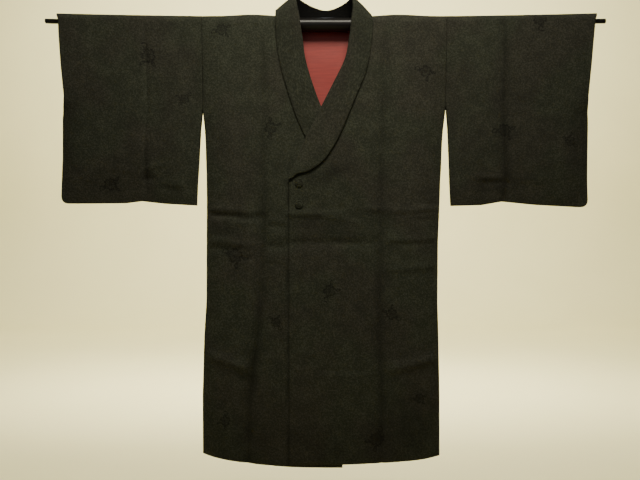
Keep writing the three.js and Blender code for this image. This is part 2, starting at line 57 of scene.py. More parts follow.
eye_object = placed("eye", eye)
eye_object.location = EYE
eye_object.rotation_euler = (math.pi / 2, 0, 0)
bpy.context.scene.camera = eye_object


def soft_light(name, place, aim, size, watts, colour, spread=180):
    lamp = bpy.data.lights.new(name, "AREA")
    lamp.shape = "RECTANGLE"
    lamp.size, lamp.size_y = size
    lamp.energy = watts
    lamp.color = colour
    lamp.spread = math.radians(spread)
    holder = placed(name, lamp)
    holder.location = place
    holder.rotation_euler = (Vector(aim) - Vector(place)).to_track_quat("-Z", "Y").to_euler()


soft_light("ceiling_light", (0.06, -0.92, 0.92), (0, 0, -0.27), (0.8, 0.5), 12.9, (1, 0.962, 0.80), 116)
soft_light("room_light", (-0.5, -2.6, 0.3), (0, 0, -0.3), (1.6, 1.6), 4.4, (0.96, 0.98, 0.92))
soft_light("wall_light", (0, 2.3, 2.3), (0, 6.0, 1.0), (6.0, 1.2), 620, (1, 0.955, 0.72))
soft_light("floor_light", (0, 2.2, 1.0), (0, 1.7, -1.36), (3.6, 0.8), 66, (1, 0.955, 0.74), 90)
soft_light("back_light", (0.5, 2.3, 1.7), (0, 0, -0.3), (1.6, 0.9), 18, (0.90, 0.96, 1.0))

world = bpy.data.worlds.new("pale_room")
world.use_nodes = True
sky = world.node_tree.nodes["Background"]
sky.inputs["Color"].default_value = (0.78, 0.80, 0.78, 1)
sky.inputs["Strength"].default_value = 0.075
bpy.context.scene.world = world

# ---- The floor --------------------------------------------------------------------------------
# A plain pale floor that turns up in a wide curve into a plain wall far behind the coat, as a sheet
# of studio paper does. Its tone is a little uneven.
FLOOR_LEVEL, FLOOR_FRONT, WALL_FOOT, WALL_TOP, CURVE, HALF_WIDTH = -1.36, -2.6, 4.6, 3.2, 1.4, 5.0


def new_material(name, roughness=0.5, sheen=0.0, coat=0.0):
    """A material with a principled shader. Returns it with its nodes, its links and its shader, which
    the helpers below then work on."""
    material = bpy.data.materials.new(name)
    material.use_nodes = True
    tree = material.node_tree
    principled = tree.nodes["Principled BSDF"]
    principled.inputs["Roughness"].default_value = roughness
    principled.inputs["Sheen Weight"].default_value = sheen
    principled.inputs["Coat Weight"].default_value = coat
    return material, tree.nodes, tree.links, principled


def speckle(vector, scale, detail=2.0, rough=0.5, distortion=0.0):
    node = nodes.new("ShaderNodeTexNoise")
    links.new(vector, node.inputs["Vector"])
    node.inputs["Scale"].default_value = scale
    node.inputs["Detail"].default_value = detail
    node.inputs["Roughness"].default_value = rough
    node.inputs["Distortion"].default_value = distortion
    return node.outputs["Fac"]


def blend_colours(factor, a, b):
    node = nodes.new("ShaderNodeMix")
    node.data_type = "RGBA"
    links.new(factor, node.inputs["Factor"])
    for key, value in (("A", a), ("B", b)):
        if isinstance(value, tuple):
            node.inputs[key].default_value = (*value, 1)
        else:
            links.new(value, node.inputs[key])
    return node.outputs["Result"]


floor_paint, nodes, links, shader = new_material("floor_paint", 0.75)
patches = speckle(nodes.new("ShaderNodeTexCoord").outputs["Object"], 1.7)
links.new(blend_colours(patches, (0.80, 0.735, 0.42), (0.86, 0.790, 0.465)), shader.inputs["Base Color"])
bm = bmesh.new()
edge = bm.verts.new((-HALF_WIDTH, WALL_FOOT, FLOOR_LEVEL))
bmesh.ops.spin(bm, geom=[edge], cent=(0, WALL_FOOT, FLOOR_LEVEL + CURVE), axis=(1, 0, 0),
               angle=math.pi / 2, steps=24)
bm.verts.ensure_lookup_table()
low, high = min(bm.verts, key=lambda v: v.co.y), max(bm.verts, key=lambda v: v.co.y)
to_front, to_top = (0, FLOOR_FRONT - WALL_FOOT, 0), (0, 0, WALL_TOP - FLOOR_LEVEL - CURVE)
for start, way in ((low, to_front), (high, to_top)):
    made = bmesh.ops.extrude_vert_indiv(bm, verts=[start])
    bmesh.ops.translate(bm, verts=made["verts"], vec=way)
made = bmesh.ops.extrude_edge_only(bm, edges=bm.edges)
far_side = [v for v in made["geom"] if isinstance(v, bmesh.types.BMVert)]
bmesh.ops.translate(bm, verts=far_side, vec=(2 * HALF_WIDTH, 0, 0))
bmesh.ops.recalc_face_normals(bm, faces=bm.faces)


def smooth_object(name, bm, material):
    """Makes a bmesh a smooth object of one material."""
    for face in bm.faces:
        face.smooth = True
    mesh = bpy.data.meshes.new(name)
    bm.to_mesh(mesh)
    bm.free()
    mesh.materials.append(material)
    return placed(name, mesh)


floor = smooth_object("floor", bm, floor_paint)

# ---- The rod ----------------------------------------------------------------------------------
# A turned softwood rod under glossy black lacquer, with a thin pin at each end that its stand holds.
# Its own weight bends it a little, and all that hangs on it follows that bend.
ROD_RADIUS, ROD_HALF, PIN_RADIUS, PIN_LENGTH = 0.017, 0.662, 0.006, 0.038
SAG = 0.0085


def rise(x):
    """How much higher the rod lies at x than in its middle."""
    return SAG * (x / ROD_HALF) ** 2


def mix(a, b, share):
    return a + (b - a) * share


def finished(name, bm, material, node):
    """Makes a bmesh an object that stands for a node of the frame."""
    piece = smooth_object(name, bm, material)
    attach(piece, "root")
    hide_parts(node)
    return piece


def take(node, key, value):
    if isinstance(value, (int, float)):
        node.inputs[key].default_value = value
    else:
        links.new(value, node.inputs[key])


def calc(operation, a, b=None):
    node = nodes.new("ShaderNodeMath")
    node.operation = operation
    take(node, 0, a)
    if b is not None:
        take(node, 1, b)
    return node.outputs[0]


def plus(a, b):
    return calc("ADD", a, b)


def times(a, b):
    return calc("MULTIPLY", a, b)


def stretched(vector, factors):
    node = nodes.new("ShaderNodeMapping")
    links.new(vector, node.inputs["Vector"])
    node.inputs["Scale"].default_value = factors
    return node.outputs["Vector"]


def stand_up(height, strength, distance):
    """Lets a small height show in the light on the shader's surface."""
    node = nodes.new("ShaderNodeBump")
    node.inputs["Strength"].default_value = strength
    node.inputs["Distance"].default_value = distance
    links.new(height, node.inputs["Height"])
    links.new(node.outputs["Normal"], shader.inputs["Normal"])


lacquer, nodes, links, shader = new_material("black_lacquer", coat=0.06)
shader.inputs["Specular IOR Level"].default_value = 0.16
shader.inputs["Coat Roughness"].default_value = 0.18
place = nodes.new("ShaderNodeTexCoord").outputs["Object"]
grain = speckle(stretched(place, (2.5, 60, 60)), 4, 6.0)
dust = speckle(place, 900)
links.new(blend_colours(grain, (0.004, 0.0036, 0.0034), (0.013, 0.0115, 0.0105)),
          shader.inputs["Base Color"])
links.new(plus(0.24, times(grain, 0.10)), shader.inputs["Roughness"])
stand_up(plus(grain, dust), 0.06, 0.0004)

# The rod's outline from end to end, turned round its axis; its edges are broken as on a lathe.
EDGE = 0.0012
FILLET_LENGTH, FILLET_HEIGHT = 0.0005, 0.0006  # where each pin meets the rod's end
pin_end = ROD_HALF + PIN_LENGTH
half_outline = [
    (pin_end, PIN_RADIUS - EDGE), (pin_end - EDGE, PIN_RADIUS),
    (ROD_HALF + FILLET_LENGTH, PIN_RADIUS),
    (ROD_HALF, PIN_RADIUS + FILLET_HEIGHT), (ROD_HALF, ROD_RADIUS - EDGE),
    (ROD_HALF - EDGE * 0.3, ROD_RADIUS - EDGE * 0.3), (ROD_HALF - EDGE, ROD_RADIUS)]
SHAFT_STEPS, ROD_SIDES = 24, 48
shaft = [mix(ROD_HALF - EDGE, -ROD_HALF + EDGE, i / SHAFT_STEPS) for i in range(1, SHAFT_STEPS)]
outline = (half_outline + [(x, ROD_RADIUS) for x in shaft]
           + [(-x, radius) for x, radius in reversed(half_outline)])


MERGED = 1e-5  # points of a turned piece this near each other are one


def turned(bm, outline, axis, steps):
    """Turns an open outline, whose ends lie on the axis, into a closed solid."""
    line = [bm.verts.new(place) for place in outline]
    edges = [bm.edges.new(pair) for pair in zip(line, line[1:])]
    bmesh.ops.spin(bm, geom=line + edges, cent=(0, 0, 0), axis=axis, angle=math.tau, steps=steps,
                   use_merge=True)
    bmesh.ops.remove_doubles(bm, verts=bm.verts, dist=MERGED)
    bmesh.ops.recalc_face_normals(bm, faces=bm.faces)


bm = bmesh.new()
whole = [(pin_end, 0)] + outline + [(-pin_end, 0)]
turned(bm, [(x, 0, radius) for x, radius in whole], (1, 0, 0), ROD_SIDES)
for vert in bm.verts:
    vert.co.z += rise(vert.co.x)
rod = finished("hanging_rod", bm, lacquer, "rod")
rod.data.set_sharp_from_angle(angle=math.radians(40))

# ---- The coat's cloth -------------------------------------------------------------------------
# Near-black silk crepe, woven with a fine speckled ground and, here and there, a small flower in
# the same black. The flowers lie on the cloth's straight grain, so the pattern follows its map.


def new_group(name, results):
    """A node group that takes a map and gives the named results. Returns it, its nodes and its links."""
    group = bpy.data.node_groups.new(name, "ShaderNodeTree")
    group.interface.new_socket("Map", in_out="INPUT", socket_type="NodeSocketVector")
    for result in results:
        group.interface.new_socket(result, in_out="OUTPUT", socket_type="NodeSocketFloat")
    return group, group.nodes, group.links


def fade(value, start, end, low=0.0, high=1.0):
    node = nodes.new("ShaderNodeMapRange")
    node.interpolation_type = "SMOOTHSTEP"
    settings = {"Value": value, "From Min": start, "From Max": end, "To Min": low, "To Max": high}
    for key, setting in settings.items():
        take(node, key, setting)
    return node.outputs["Result"]


def minus(a, b):
    return calc("SUBTRACT", a, b)


def larger(a, b):
    return calc("MAXIMUM", a, b)


# The ground: crinkled weft threads across the cloth, and grains of float weave about 4 mm apart.
crepe_ground, nodes, links = new_group("crepe_ground", ("Tone", "Relief", "Drift"))
given = nodes.new("NodeGroupInput").outputs["Map"]
crimp = speckle(stretched(given, (900, 2300, 1)), 1.0, 2.0, 0.6)
thread = speckle(stretched(given, (3200, 500, 1)), 1.0, 1.0)
scroll = speckle(stretched(given, (1.0, 0.8, 1)), 120, 1.0, 0.5, 1.8)
float_weave = fade(calc("ABSOLUTE", minus(scroll, 0.5)), 0.0, 0.055, 1.0, 0.0)
grains = fade(speckle(given, 260, 1.5, 0.6, 0.8), 0.40, 0.63)
broad = speckle(given, 30, 1.0)
tone = plus(times(grains, 0.48), times(float_weave, 0.34))
tone = plus(tone, times(minus(crimp, 0.5), 0.7))
tone = plus(tone, times(minus(broad, 0.5), 0.60))
relief = plus(times(crimp, 0.5), times(grains, 0.5))
result = nodes.new("NodeGroupOutput")
links.new(fade(tone, -0.05, 0.95), result.inputs["Tone"])
links.new(plus(relief, times(thread, 0.25)), result.inputs["Relief"])
links.new(speckle(given, 5.5, 2.0), result.inputs["Drift"])

# The flower: five notched petals round a ring of stamens, with two leaves and a curled tendril.
woven_flower, nodes, links = new_group("woven_flower", ("Line", "Body"))
given = nodes.new("NodeGroupInput").outputs["Map"]
split = nodes.new("ShaderNodeSeparateXYZ")
links.new(given, split.inputs[0])
across, along = split.outputs["X"], split.outputs["Y"]


def ring(distance, radius, width):
    return fade(calc("ABSOLUTE", minus(distance, radius)), width, width * 0.45)


def length_of(x, y):
    return calc("SQRT", plus(times(x, x), times(y, y)))


reach, turn = length_of(across, along), calc("ARCTAN2", along, across)
lobe = calc("ABSOLUTE", calc("COSINE", times(turn, 2.5)))
petal_edge = plus(times(calc("POWER", lobe, 0.55), 0.36), 0.30)
petal_edge = minus(petal_edge, times(fade(lobe, 0.93, 1.0), 0.10))
stamens = times(fade(calc("COSINE", times(turn, 10)), 0.55, 0.95),
                times(fade(reach, 0.14, 0.18), fade(reach, 0.40, 0.34)))
drawn = larger(larger(ring(reach, petal_edge, 0.15), stamens), ring(reach, 0.11, 0.08))
filled = fade(minus(reach, petal_edge), 0.02, -0.03)
# each leaf: its middle, its half length and width, and the way that it points
LEAVES = [(0.80, -0.52, 0.30, 0.16, -0.5), (-0.20, -0.92, 0.28, 0.15, -1.9)]
for middle_x, middle_y, long, wide, way in LEAVES:
    dx, dy = minus(across, middle_x), minus(along, middle_y)
    fore = plus(times(dx, math.cos(way)), times(dy, math.sin(way)))
    side = minus(times(dy, math.cos(way)), times(dx, math.sin(way)))
    side = minus(side, times(times(fore, fore), 0.5))
    oval = calc("SQRT", plus(calc("POWER", calc("ABSOLUTE", calc("DIVIDE", fore, long)), 1.6),
                             calc("POWER", calc("DIVIDE", side, wide), 2)))
    blade = fade(oval, 1.0, 0.9)
    vein = times(fade(calc("ABSOLUTE", side), 0.035, 0.012), blade)
    drawn = larger(drawn, larger(ring(oval, 0.90, 0.34), vein))
    filled = larger(filled, blade)
curl_x, curl_y = plus(across, 0.72), minus(along, 0.62)
curl_radius = plus(times(calc("ARCTAN2", curl_y, curl_x), 0.035), 0.22)
drawn = larger(drawn, ring(length_of(curl_x, curl_y), curl_radius, 0.085))
wear_and_shade = fade(speckle(given, 4.5, 1.0), 0.34, 0.50, 0.35, 1.0)
result = nodes.new("NodeGroupOutput")
links.new(times(drawn, wear_and_shade), result.inputs["Line"])
links.new(filled, result.inputs["Body"])


def flat_map(name):
    node = nodes.new("ShaderNodeUVMap")
    node.uv_map = name
    return node.outputs["UV"]


def on_map(group, map_name):
    """The results of a node group on one of the piece's maps."""
    node = nodes.new("ShaderNodeGroup")
    node.node_tree = group
    links.new(flat_map(map_name), node.inputs["Map"])
    return node.outputs


def mark(name):
    node = nodes.new("ShaderNodeAttribute")
    node.attribute_name = name
    return node.outputs["Fac"]


coat_cloth, nodes, links, shader = new_material("black_crepe", sheen=0.05)
shader.inputs["Specular IOR Level"].default_value = 0.10
shader.inputs["Sheen Roughness"].default_value = 0.45
shader.inputs["Sheen Tint"].default_value = (0.80, 0.80, 0.66, 1)
ground, flower = on_map(crepe_ground, "Grain"), on_map(woven_flower, "Flower")
olive = blend_colours(ground["Tone"], (0.0196, 0.0214, 0.0146), (0.0498, 0.0538, 0.0372))
brown = blend_colours(ground["Tone"], (0.0206, 0.0199, 0.0149), (0.0498, 0.0489, 0.0360))
dyed = blend_colours(fade(ground["Drift"], 0.42, 0.60), olive, brown)
motif = larger(times(flower["Line"], 0.66), times(flower["Body"], 0.26))
figured = blend_colours(motif, dyed, (0.0022, 0.0021, 0.0017))
# Painted shade: the cloth is darkened by its painted-shade mask along the press lines, in the creases, under
# the collar's end, along the front edge, the seams and the sleeve edges, and towards the hem.
with_painted_shade = blend_colours(times(mark("PaintedShade"), 0.9), figured, (0.0030, 0.0028, 0.0022))
# Where the plain mask is set, the cloth goes near black: the collar's plain inner layer, near black partly
# as painted shade of the inside of the neck, and the buttons a little.
links.new(blend_colours(mark("PlainAndShade"), with_painted_shade, (0.0012, 0.0010, 0.0009)), shader.inputs["Base Color"])
links.new(minus(plus(0.80, times(ground["Tone"], 0.12)), times(motif, 0.22)), shader.inputs["Roughness"])
stand_up(minus(ground["Relief"], times(flower["Line"], 0.35)), 0.55, 0.0006)

# ---- The body ---------------------------------------------------------------------------------
# Two loom widths of cloth, each laid over the shoulder with no seam there and joined at the centre
# back. The left front closes over the right one. The sides are sewn up to a slit under each arm.
WALL, SEAM_GAP = 0.0014, 0.0003
SHOWN_WALL = WALL - 0.0002  # a sheet is drawn a little thinner than its solid
ARCH_DEPTH = 0.021  # half the depth of the cloth where it goes over the rod
ARCH_HEIGHT = ROD_RADIUS + SEAM_GAP + WALL / 2 + 0.0004
ARCH_LENGTH = (math.pi / 4) * (3 * (ARCH_DEPTH + ARCH_HEIGHT)
                               - math.sqrt((3 * ARCH_DEPTH + ARCH_HEIGHT) * (ARCH_DEPTH + 3 * ARCH_HEIGHT)))
ARMHOLE_END, SIDE_SEAM_TOP = -0.215, -0.315
UNDERARM_DEPTH, SEAM_DEPTH, SIDE_PINCH = 0.006, WALL / 2 + SEAM_GAP / 2, 0.075
NECK_HALF = 0.088
HUMP_X, HUMP_WIDTH, HUMP_HEIGHT = 0.180, 0.060, 0.0052  # the shoulders stand a little off the rod

# level, side and front edge of the left half, side and front edge of the right half
BODY_OUTLINE = [
    (0, 0.3, 0.089, -0.306, -0.089), (-0.04, 0.3, 0.084, -0.306, -0.082),
    (-0.1, 0.3, 0.073, -0.306, -0.066), (-0.16, 0.3, 0.044, -0.306, -0.05),
    (-0.205, 0.3, 0.022, -0.306, -0.033), (-0.215, 0.299, 0.017, -0.306, -0.03),
    (-0.265, 0.2935, -0.008, -0.301, -0.007), (-0.302, 0.291, -0.028, -0.299, 0.01),
    (-0.335, 0.29, -0.048, -0.2983, 0.023), (-0.36, 0.289, -0.065, -0.2975, 0.034),
    (-0.392, 0.287, -0.091, -0.2967, 0.042), (-0.44, 0.2855, -0.091, -0.296, 0.042),
    (-0.55, 0.281, -0.091, -0.2965, 0.042), (-0.7, 0.28, -0.091, -0.297, 0.042),
    (-0.79, 0.2825, -0.091, -0.3025, 0.042), (-0.94, 0.285, -0.09, -0.3065, 0.042),
    (-1.11, 0.285, -0.09, -0.3055, 0.042),
]
COLUMN = {"left_side": 1, "left_front": 2, "right_side": 3, "right_front": 4}
HEMS = {"left": {"front": (1.0925, 1.077), "back": (1.085, 1.077)},
        "right": {"front": (1.1005, 1.072), "back": (1.085, 1.073)}}
# level, lift of the left front, tuck of the right one
CROSSING = [
    (-0.06, 0, 0), (-0.2, 0.005, 0.003), (-0.395, 0.005, 0.003), (-0.48, 0.0015, 0.0015),
    (-1.11, 0.0015, 0.0015),
]
LIFTED, TUCKED = (0.130, 0.060), (-0.110, -0.030)

# The large folds left by storage: from x and z, to x and z, width, height. Both fronts share theirs.
FOLDS = {
    "front": [
        (0.148, -0.07, 0.138, -0.54, 0.014, -0.0022), (0.137, -0.54, 0.141, -1.06, 0.014, -0.0022),
        (-0.1, -0.475, 0.06, -0.476, 0.009, 0.0024), (0.1, -0.461, 0.292, -0.466, 0.009, 0.0022),
        (-0.15, -0.552, 0.15, -0.544, 0.014, -0.0024), (0.155, -0.539, 0.288, -0.535, 0.01, 0.0024),
        (0.15, -0.858, 0.288, -0.828, 0.014, 0.0036), (-0.158, -0.07, -0.16, -0.7, 0.016, -0.0026),
        (-0.162, -0.7, -0.19, -1.06, 0.016, -0.0024), (-0.3, -0.462, -0.19, -0.468, 0.009, 0.0022),
        (-0.296, -0.478, -0.13, -0.486, 0.009, -0.0024), (-0.3, -0.541, -0.2, -0.548, 0.01, 0.0022),
        (-0.3, -0.821, -0.188, -0.855, 0.014, 0.0036)],
    "back": [
        (0.148, -0.06, 0.147, -1.05, 0.014, -0.002), (-0.156, -0.06, -0.16, -1.05, 0.014, -0.002),
        (-0.29, -0.47, 0.275, -0.474, 0.014, -0.002), (-0.29, -0.85, 0.275, -0.842, 0.018, -0.0024)],
    "left_sleeve": [(0.439, -0.03, 0.441, -0.43, 0.012, 0.0018)],
    "right_sleeve": [(-0.441, -0.06, -0.45, -0.43, 0.012, -0.0018)],
}
# The sharper creases in them and the small slack ridges between them.
CREASES = {
    "front": [
        # across the waist, on the right front
        (-0.296, -0.46, -0.222, -0.4635, 0.005, 0.0012), (-0.298, -0.475, -0.226, -0.48, 0.0052, -0.0022),
        (-0.228, -0.481, -0.18, -0.486, 0.0065, -0.002), (-0.184, -0.486, -0.146, -0.473, 0.006, -0.0026),
        (-0.298, -0.489, -0.225, -0.49, 0.0045, 0.001), (-0.228, -0.491, -0.19, -0.498, 0.0045, 0.0016),
        (-0.15, -0.488, -0.092, -0.493, 0.0065, 0.002), (-0.15, -0.504, -0.092, -0.507, 0.006, -0.0016),
        (-0.296, -0.537, -0.225, -0.54, 0.0055, 0.0014), (-0.23, -0.55, -0.178, -0.549, 0.005, 0.002),
        (-0.298, -0.56, -0.205, -0.564, 0.0075, -0.0022), (-0.216, -0.583, -0.176, -0.583, 0.005, -0.0024),
        (-0.15, -0.553, -0.094, -0.557, 0.0062, -0.002), (-0.15, -0.596, -0.1, -0.606, 0.006, -0.0012),
        # across the waist, on the left front
        (-0.098, -0.47, 0.01, -0.474, 0.0065, 0.0014), (-0.098, -0.485, 0, -0.486, 0.005, -0.0012),
        (0.01, -0.482, 0.085, -0.496, 0.0052, 0.0022), (-0.098, -0.544, 0, -0.543, 0.006, -0.0018),
        (0.01, -0.544, 0.09, -0.547, 0.0085, -0.0024), (0.085, -0.46, 0.14, -0.459, 0.0065, 0.0012),
        (0.16, -0.466, 0.225, -0.469, 0.006, 0.001), (0.226, -0.462, 0.294, -0.46, 0.005, 0.0016),
        (0.228, -0.45, 0.294, -0.448, 0.005, -0.0016), (0.226, -0.472, 0.292, -0.469, 0.0042, -0.0016),
        (0.222, -0.48, 0.292, -0.479, 0.0042, 0.0014), (0.218, -0.491, 0.292, -0.488, 0.0055, -0.0012),
        (0.15, -0.539, 0.214, -0.539, 0.0055, 0.001), (0.155, -0.55, 0.288, -0.547, 0.0055, -0.0018),
        (0.14, -0.614, 0.282, -0.602, 0.008, 0.0022), (0.18, -0.63, 0.27, -0.62, 0.006, -0.001),
        # above the knee, on both
        (-0.302, -0.823, -0.19, -0.853, 0.01, 0.0022), (-0.215, -0.876, -0.175, -0.898, 0.01, -0.0016),
        (-0.236, -0.842, -0.186, -0.858, 0.007, 0.001), (-0.09, -0.818, 0.02, -0.818, 0.008, 0.0008),
        (-0.02, -0.86, 0.105, -0.862, 0.0055, -0.0014), (-0.01, -0.872, 0.11, -0.873, 0.0055, 0.0012),
        (-0.135, -0.884, -0.098, -0.88, 0.0045, 0.0016), (0.01, -0.89, 0.11, -0.892, 0.0045, 0.0008),
        (0.165, -0.86, 0.21, -0.862, 0.006, 0.0008), (0.23, -0.842, 0.292, -0.828, 0.006, 0.001),
        (0.156, -0.858, 0.292, -0.83, 0.01, 0.002), (-0.196, -0.915, -0.208, -1.05, 0.01, -0.0026),
        (0.158, -0.93, 0.168, -1.04, 0.011, -0.0018), (-0.25, -0.93, -0.262, -1.06, 0.012, 0.001)],
    "back": [
        (-0.29, -0.468, -0.05, -0.474, 0.006, -0.0018), (-0.03, -0.472, 0.275, -0.466, 0.006, -0.0018),
        (-0.28, -0.494, -0.12, -0.498, 0.005, 0.0012), (0.08, -0.5, 0.27, -0.49, 0.005, 0.0012),
        (-0.285, -0.545, 0.11, -0.54, 0.009, -0.0022), (0.13, -0.536, 0.275, -0.545, 0.006, 0.0016),
        (-0.29, -0.846, 0.06, -0.852, 0.008, -0.0026), (0.06, -0.852, 0.278, -0.838, 0.008, -0.0026),
        (-0.28, -0.828, -0.1, -0.834, 0.009, 0.002), (0.1, -0.832, 0.275, -0.818, 0.009, 0.002)],
    "left_sleeve": [
        (0.372, -0.384, 0.44, -0.386, 0.007, 0.0026), (0.385, -0.398, 0.47, -0.4, 0.007, -0.0022),
        (0.46, -0.388, 0.56, -0.394, 0.01, 0.0012), (0.33, -0.3, 0.4, -0.296, 0.01, 0.0008),
        (0.54, -0.35, 0.645, -0.342, 0.011, 0.0008), (0.47, -0.18, 0.58, -0.215, 0.006, 0.0008),
        (0.48, -0.2, 0.57, -0.222, 0.006, -0.0008)],
    "right_sleeve": [
        (-0.452, -0.366, -0.404, -0.352, 0.007, 0.0026), (-0.458, -0.39, -0.42, -0.388, 0.0075, -0.0026),
        (-0.4, -0.412, -0.352, -0.424, 0.007, -0.002), (-0.41, -0.4, -0.35, -0.404, 0.007, 0.0014),
        (-0.57, -0.362, -0.465, -0.37, 0.011, 0.0012), (-0.64, -0.33, -0.56, -0.336, 0.012, 0.0008),
        (-0.64, -0.405, -0.48, -0.412, 0.01, -0.001)],
}
# The press line down each part, where it was folded for storage: its level, its x, and how much painted
# shade darkens the cloth along it.
PRESS_LINE = {
    "left": [
        (0, 0.148, 0), (-0.16, 0.1465, 0.1), (-0.26, 0.144, 0.2), (-0.41, 0.1385, 0.26),
        (-0.52, 0.1385, 0.22), (-0.64, 0.135, 0.34), (-0.76, 0.1335, 0.38), (-0.86, 0.1375, 0.3),
        (-0.96, 0.1405, 0.3), (-1.11, 0.137, 0.2)],
    "right": [
        (0, -0.159, 0), (-0.2, -0.159, 0.08), (-0.34, -0.159, 0.16), (-0.41, -0.156, 0.28),
        (-0.51, -0.1565, 0.18), (-0.64, -0.1605, 0.2), (-0.76, -0.166, 0.42), (-0.87, -0.18, 0.52),
        (-0.96, -0.1885, 0.26), (-1.11, -0.192, 0.2)],
    "left_sleeve": [
        (0, 0.4385, 0.3), (-0.2, 0.436, 0.28), (-0.29, 0.44, 0.42), (-0.36, 0.443, 0.25),
        (-0.48, 0.44, 0.1)],
    "right_sleeve": [
        (0, -0.448, 0.02), (-0.16, -0.443, -0.1), (-0.22, -0.44, -0.22), (-0.29, -0.45, -0.1),
        (-0.35, -0.448, 0.14), (-0.48, -0.446, 0.05)],
}
# its depth and width, and how high the cloth stands up beside it
PRESSED = {"left": (-0.0022, 0.0070, 0.0006), "right": (-0.0024, 0.0085, 0.0007),
           "left_sleeve": (0.0022, 0.0060, -0.0003), "right_sleeve": (-0.0020, 0.0048, 0.0004)}
# Bands of painted shade: in the creases, under the collar's end, along the left front's edge where it lies
# over the right one, along the sleeves' edges and seams, and towards the hem. From x and z, to x and z,
# width, how dark.
PAINTED_SHADE_BANDS = {
    "front": [
        (-0.0925, -0.39, -0.0915, -1.1, 0.0035, 0.45), (-0.1, -0.5, 0.06, -0.503, 0.022, 0.24),
        (-0.01, -0.522, 0.07, -0.524, 0.016, 0.16), (0.06, -0.47, 0.14, -0.468, 0.012, 0.22),
        (-0.3, -0.512, -0.19, -0.514, 0.018, 0.2), (-0.292, -0.55, -0.2, -0.556, 0.01, 0.18),
        (-0.232, -0.862, -0.178, -0.884, 0.016, 0.32), (0.19, -0.868, 0.29, -0.846, 0.01, 0.24),
        (-0.15, -0.455, -0.095, -0.46, 0.02, 0.05), (-0.05, -0.392, 0.07, -0.352, 0.02, 0.36),
        (-0.3, -1.04, -0.14, -1.07, 0.05, 0.2), (-0.06, -1.07, 0.12, -1.07, 0.05, 0.12),
        (0.15, -1.02, 0.285, -1.04, 0.07, 0.38), (0.17, -0.93, 0.285, -0.95, 0.05, 0.2),
        (-0.4, -1.04, 0.4, -1.05, 0.11, 0.28)],
    "back": [
        (-0.29, -0.51, 0.275, -0.506, 0.02, 0.16), (-0.29, -0.88, 0.275, -0.872, 0.018, 0.18)],
    "left_sleeve": [
        (0.372, -0.404, 0.48, -0.41, 0.014, 0.22), (0.64, -0.02, 0.645, -0.45, 0.008, 0.14),
        (0.312, -0.24, 0.318, -0.45, 0.008, 0.14)],
    "right_sleeve": [
        (-0.462, -0.384, -0.42, -0.384, 0.01, 0.28), (-0.4, -0.418, -0.35, -0.43, 0.012, 0.18),
        (-0.64, -0.02, -0.646, -0.45, 0.007, 0.1)],
}


def clamp01(value):
    return min(1.0, max(0.0, value))


def ramp(value, start, end):
    share = clamp01((value - start) / (end - start))
    return share * share * (3 - 2 * share)


def bow(share):
    return 1 - (1 - clamp01(share)) ** 2


def bell(distance, width):
    return math.exp(-((distance / width) ** 2))


def wobble(x, y, z):
    return noise.noise(Vector((x, y, z)))


def look_up(rows, column, at):
    """The value of a column between a table's rows, which are in order of their first value."""
    falling = rows[0][0] > rows[-1][0]
    for before, after in zip(rows, rows[1:]):
        if (after[0] <= at) if falling else (after[0] >= at):
            share = clamp01((at - before[0]) / (after[0] - before[0]))
            return mix(before[column], after[column], share)
    return rows[-1][column]


def fold_height(folds, x, z):
    height = 0.0
    for from_x, from_z, to_x, to_z, width, high in folds:
        if min(from_z, to_z) - 4 * width > z or z > max(from_z, to_z) + 4 * width:
            continue
        along_x, along_z = to_x - from_x, to_z - from_z
        length = math.hypot(along_x, along_z)
        across = ((x - from_x) * along_z - (z - from_z) * along_x) / length
        if abs(across) > 3.2 * width:
            continue
        along = ((x - from_x) * along_x + (z - from_z) * along_z) / length
        ends = ramp(along, -width, width * 2) * ramp(along, length + width, length - width * 2)
        height += high * ends * bell(across, width)
    return height


def press_height(line, x, z):
    """The crease along a press line, with a soft welt on each side of it."""
    from_line = abs(x - look_up(PRESS_LINE[line], 1, z))
    depth, width, welt = PRESSED[line]
    unevenness = 1 + 0.35 * wobble(1.7, z * 9, depth * 1000)
    welts = welt * bell(from_line - width * 2.6, width * 1.2)
    return unevenness * (depth * bell(from_line, width) + welts)


def painted_shade(folds, line, x, z):
    """How much painted shade darkens the cloth here, from 0 to 1: along the press line and in the bands of
    painted shade.
    """
    from_line = abs(x - look_up(PRESS_LINE[line], 1, z))
    darkness = look_up(PRESS_LINE[line], 2, z)
    darkness *= 0.50 * bell(from_line, 0.0070) + 0.60 * bell(from_line, 0.0175)
    patchy = 1 + 0.5 * wobble(x * 23, z * 17, 5.9)
    return (darkness + fold_height(PAINTED_SHADE_BANDS[folds], x, z)) * patchy


BROAD_SLACK, SMALL_SLACK, FINE_SLACK = 0.0014, 0.0006, 0.00016


def slack(x, z, side):
    """The cloth's own soft unevenness, the same for layers that lie on each other."""
    broad = wobble(x * 7.0, z * 2.4, side * 5.3)
    small = wobble(x * 19.0, z * 11.0, 2.7 + side * 3.1)
    fine = wobble(x * 61.0, z * 53.0, 8.1 + side)
    return broad * BROAD_SLACK + small * SMALL_SLACK + fine * FINE_SLACK


PUCKER_HEIGHT, PUCKER_REACH, EDGE_ROLL, EDGE_REACH = 0.00035, 0.013, 0.0007, 0.0036


def pucker(distance, z):
    """Small ripples where a seam draws the cloth together."""
    wave = math.sin(z * 470 + 2.2 * wobble(0, 0, z * 40))
    return PUCKER_HEIGHT * wave * bell(distance, PUCKER_REACH)


def rolled_edge(distance):
    """How far a turned and pressed edge rolls in."""
    return EDGE_ROLL * (1 - clamp01(distance / EDGE_REACH)) ** 2


def edge_depth(z):
    armhole = mix(ARCH_DEPTH, UNDERARM_DEPTH, ramp(z, 0, ARMHOLE_END))
    return mix(armhole, SEAM_DEPTH, ramp(z, ARMHOLE_END, SIDE_SEAM_TOP))


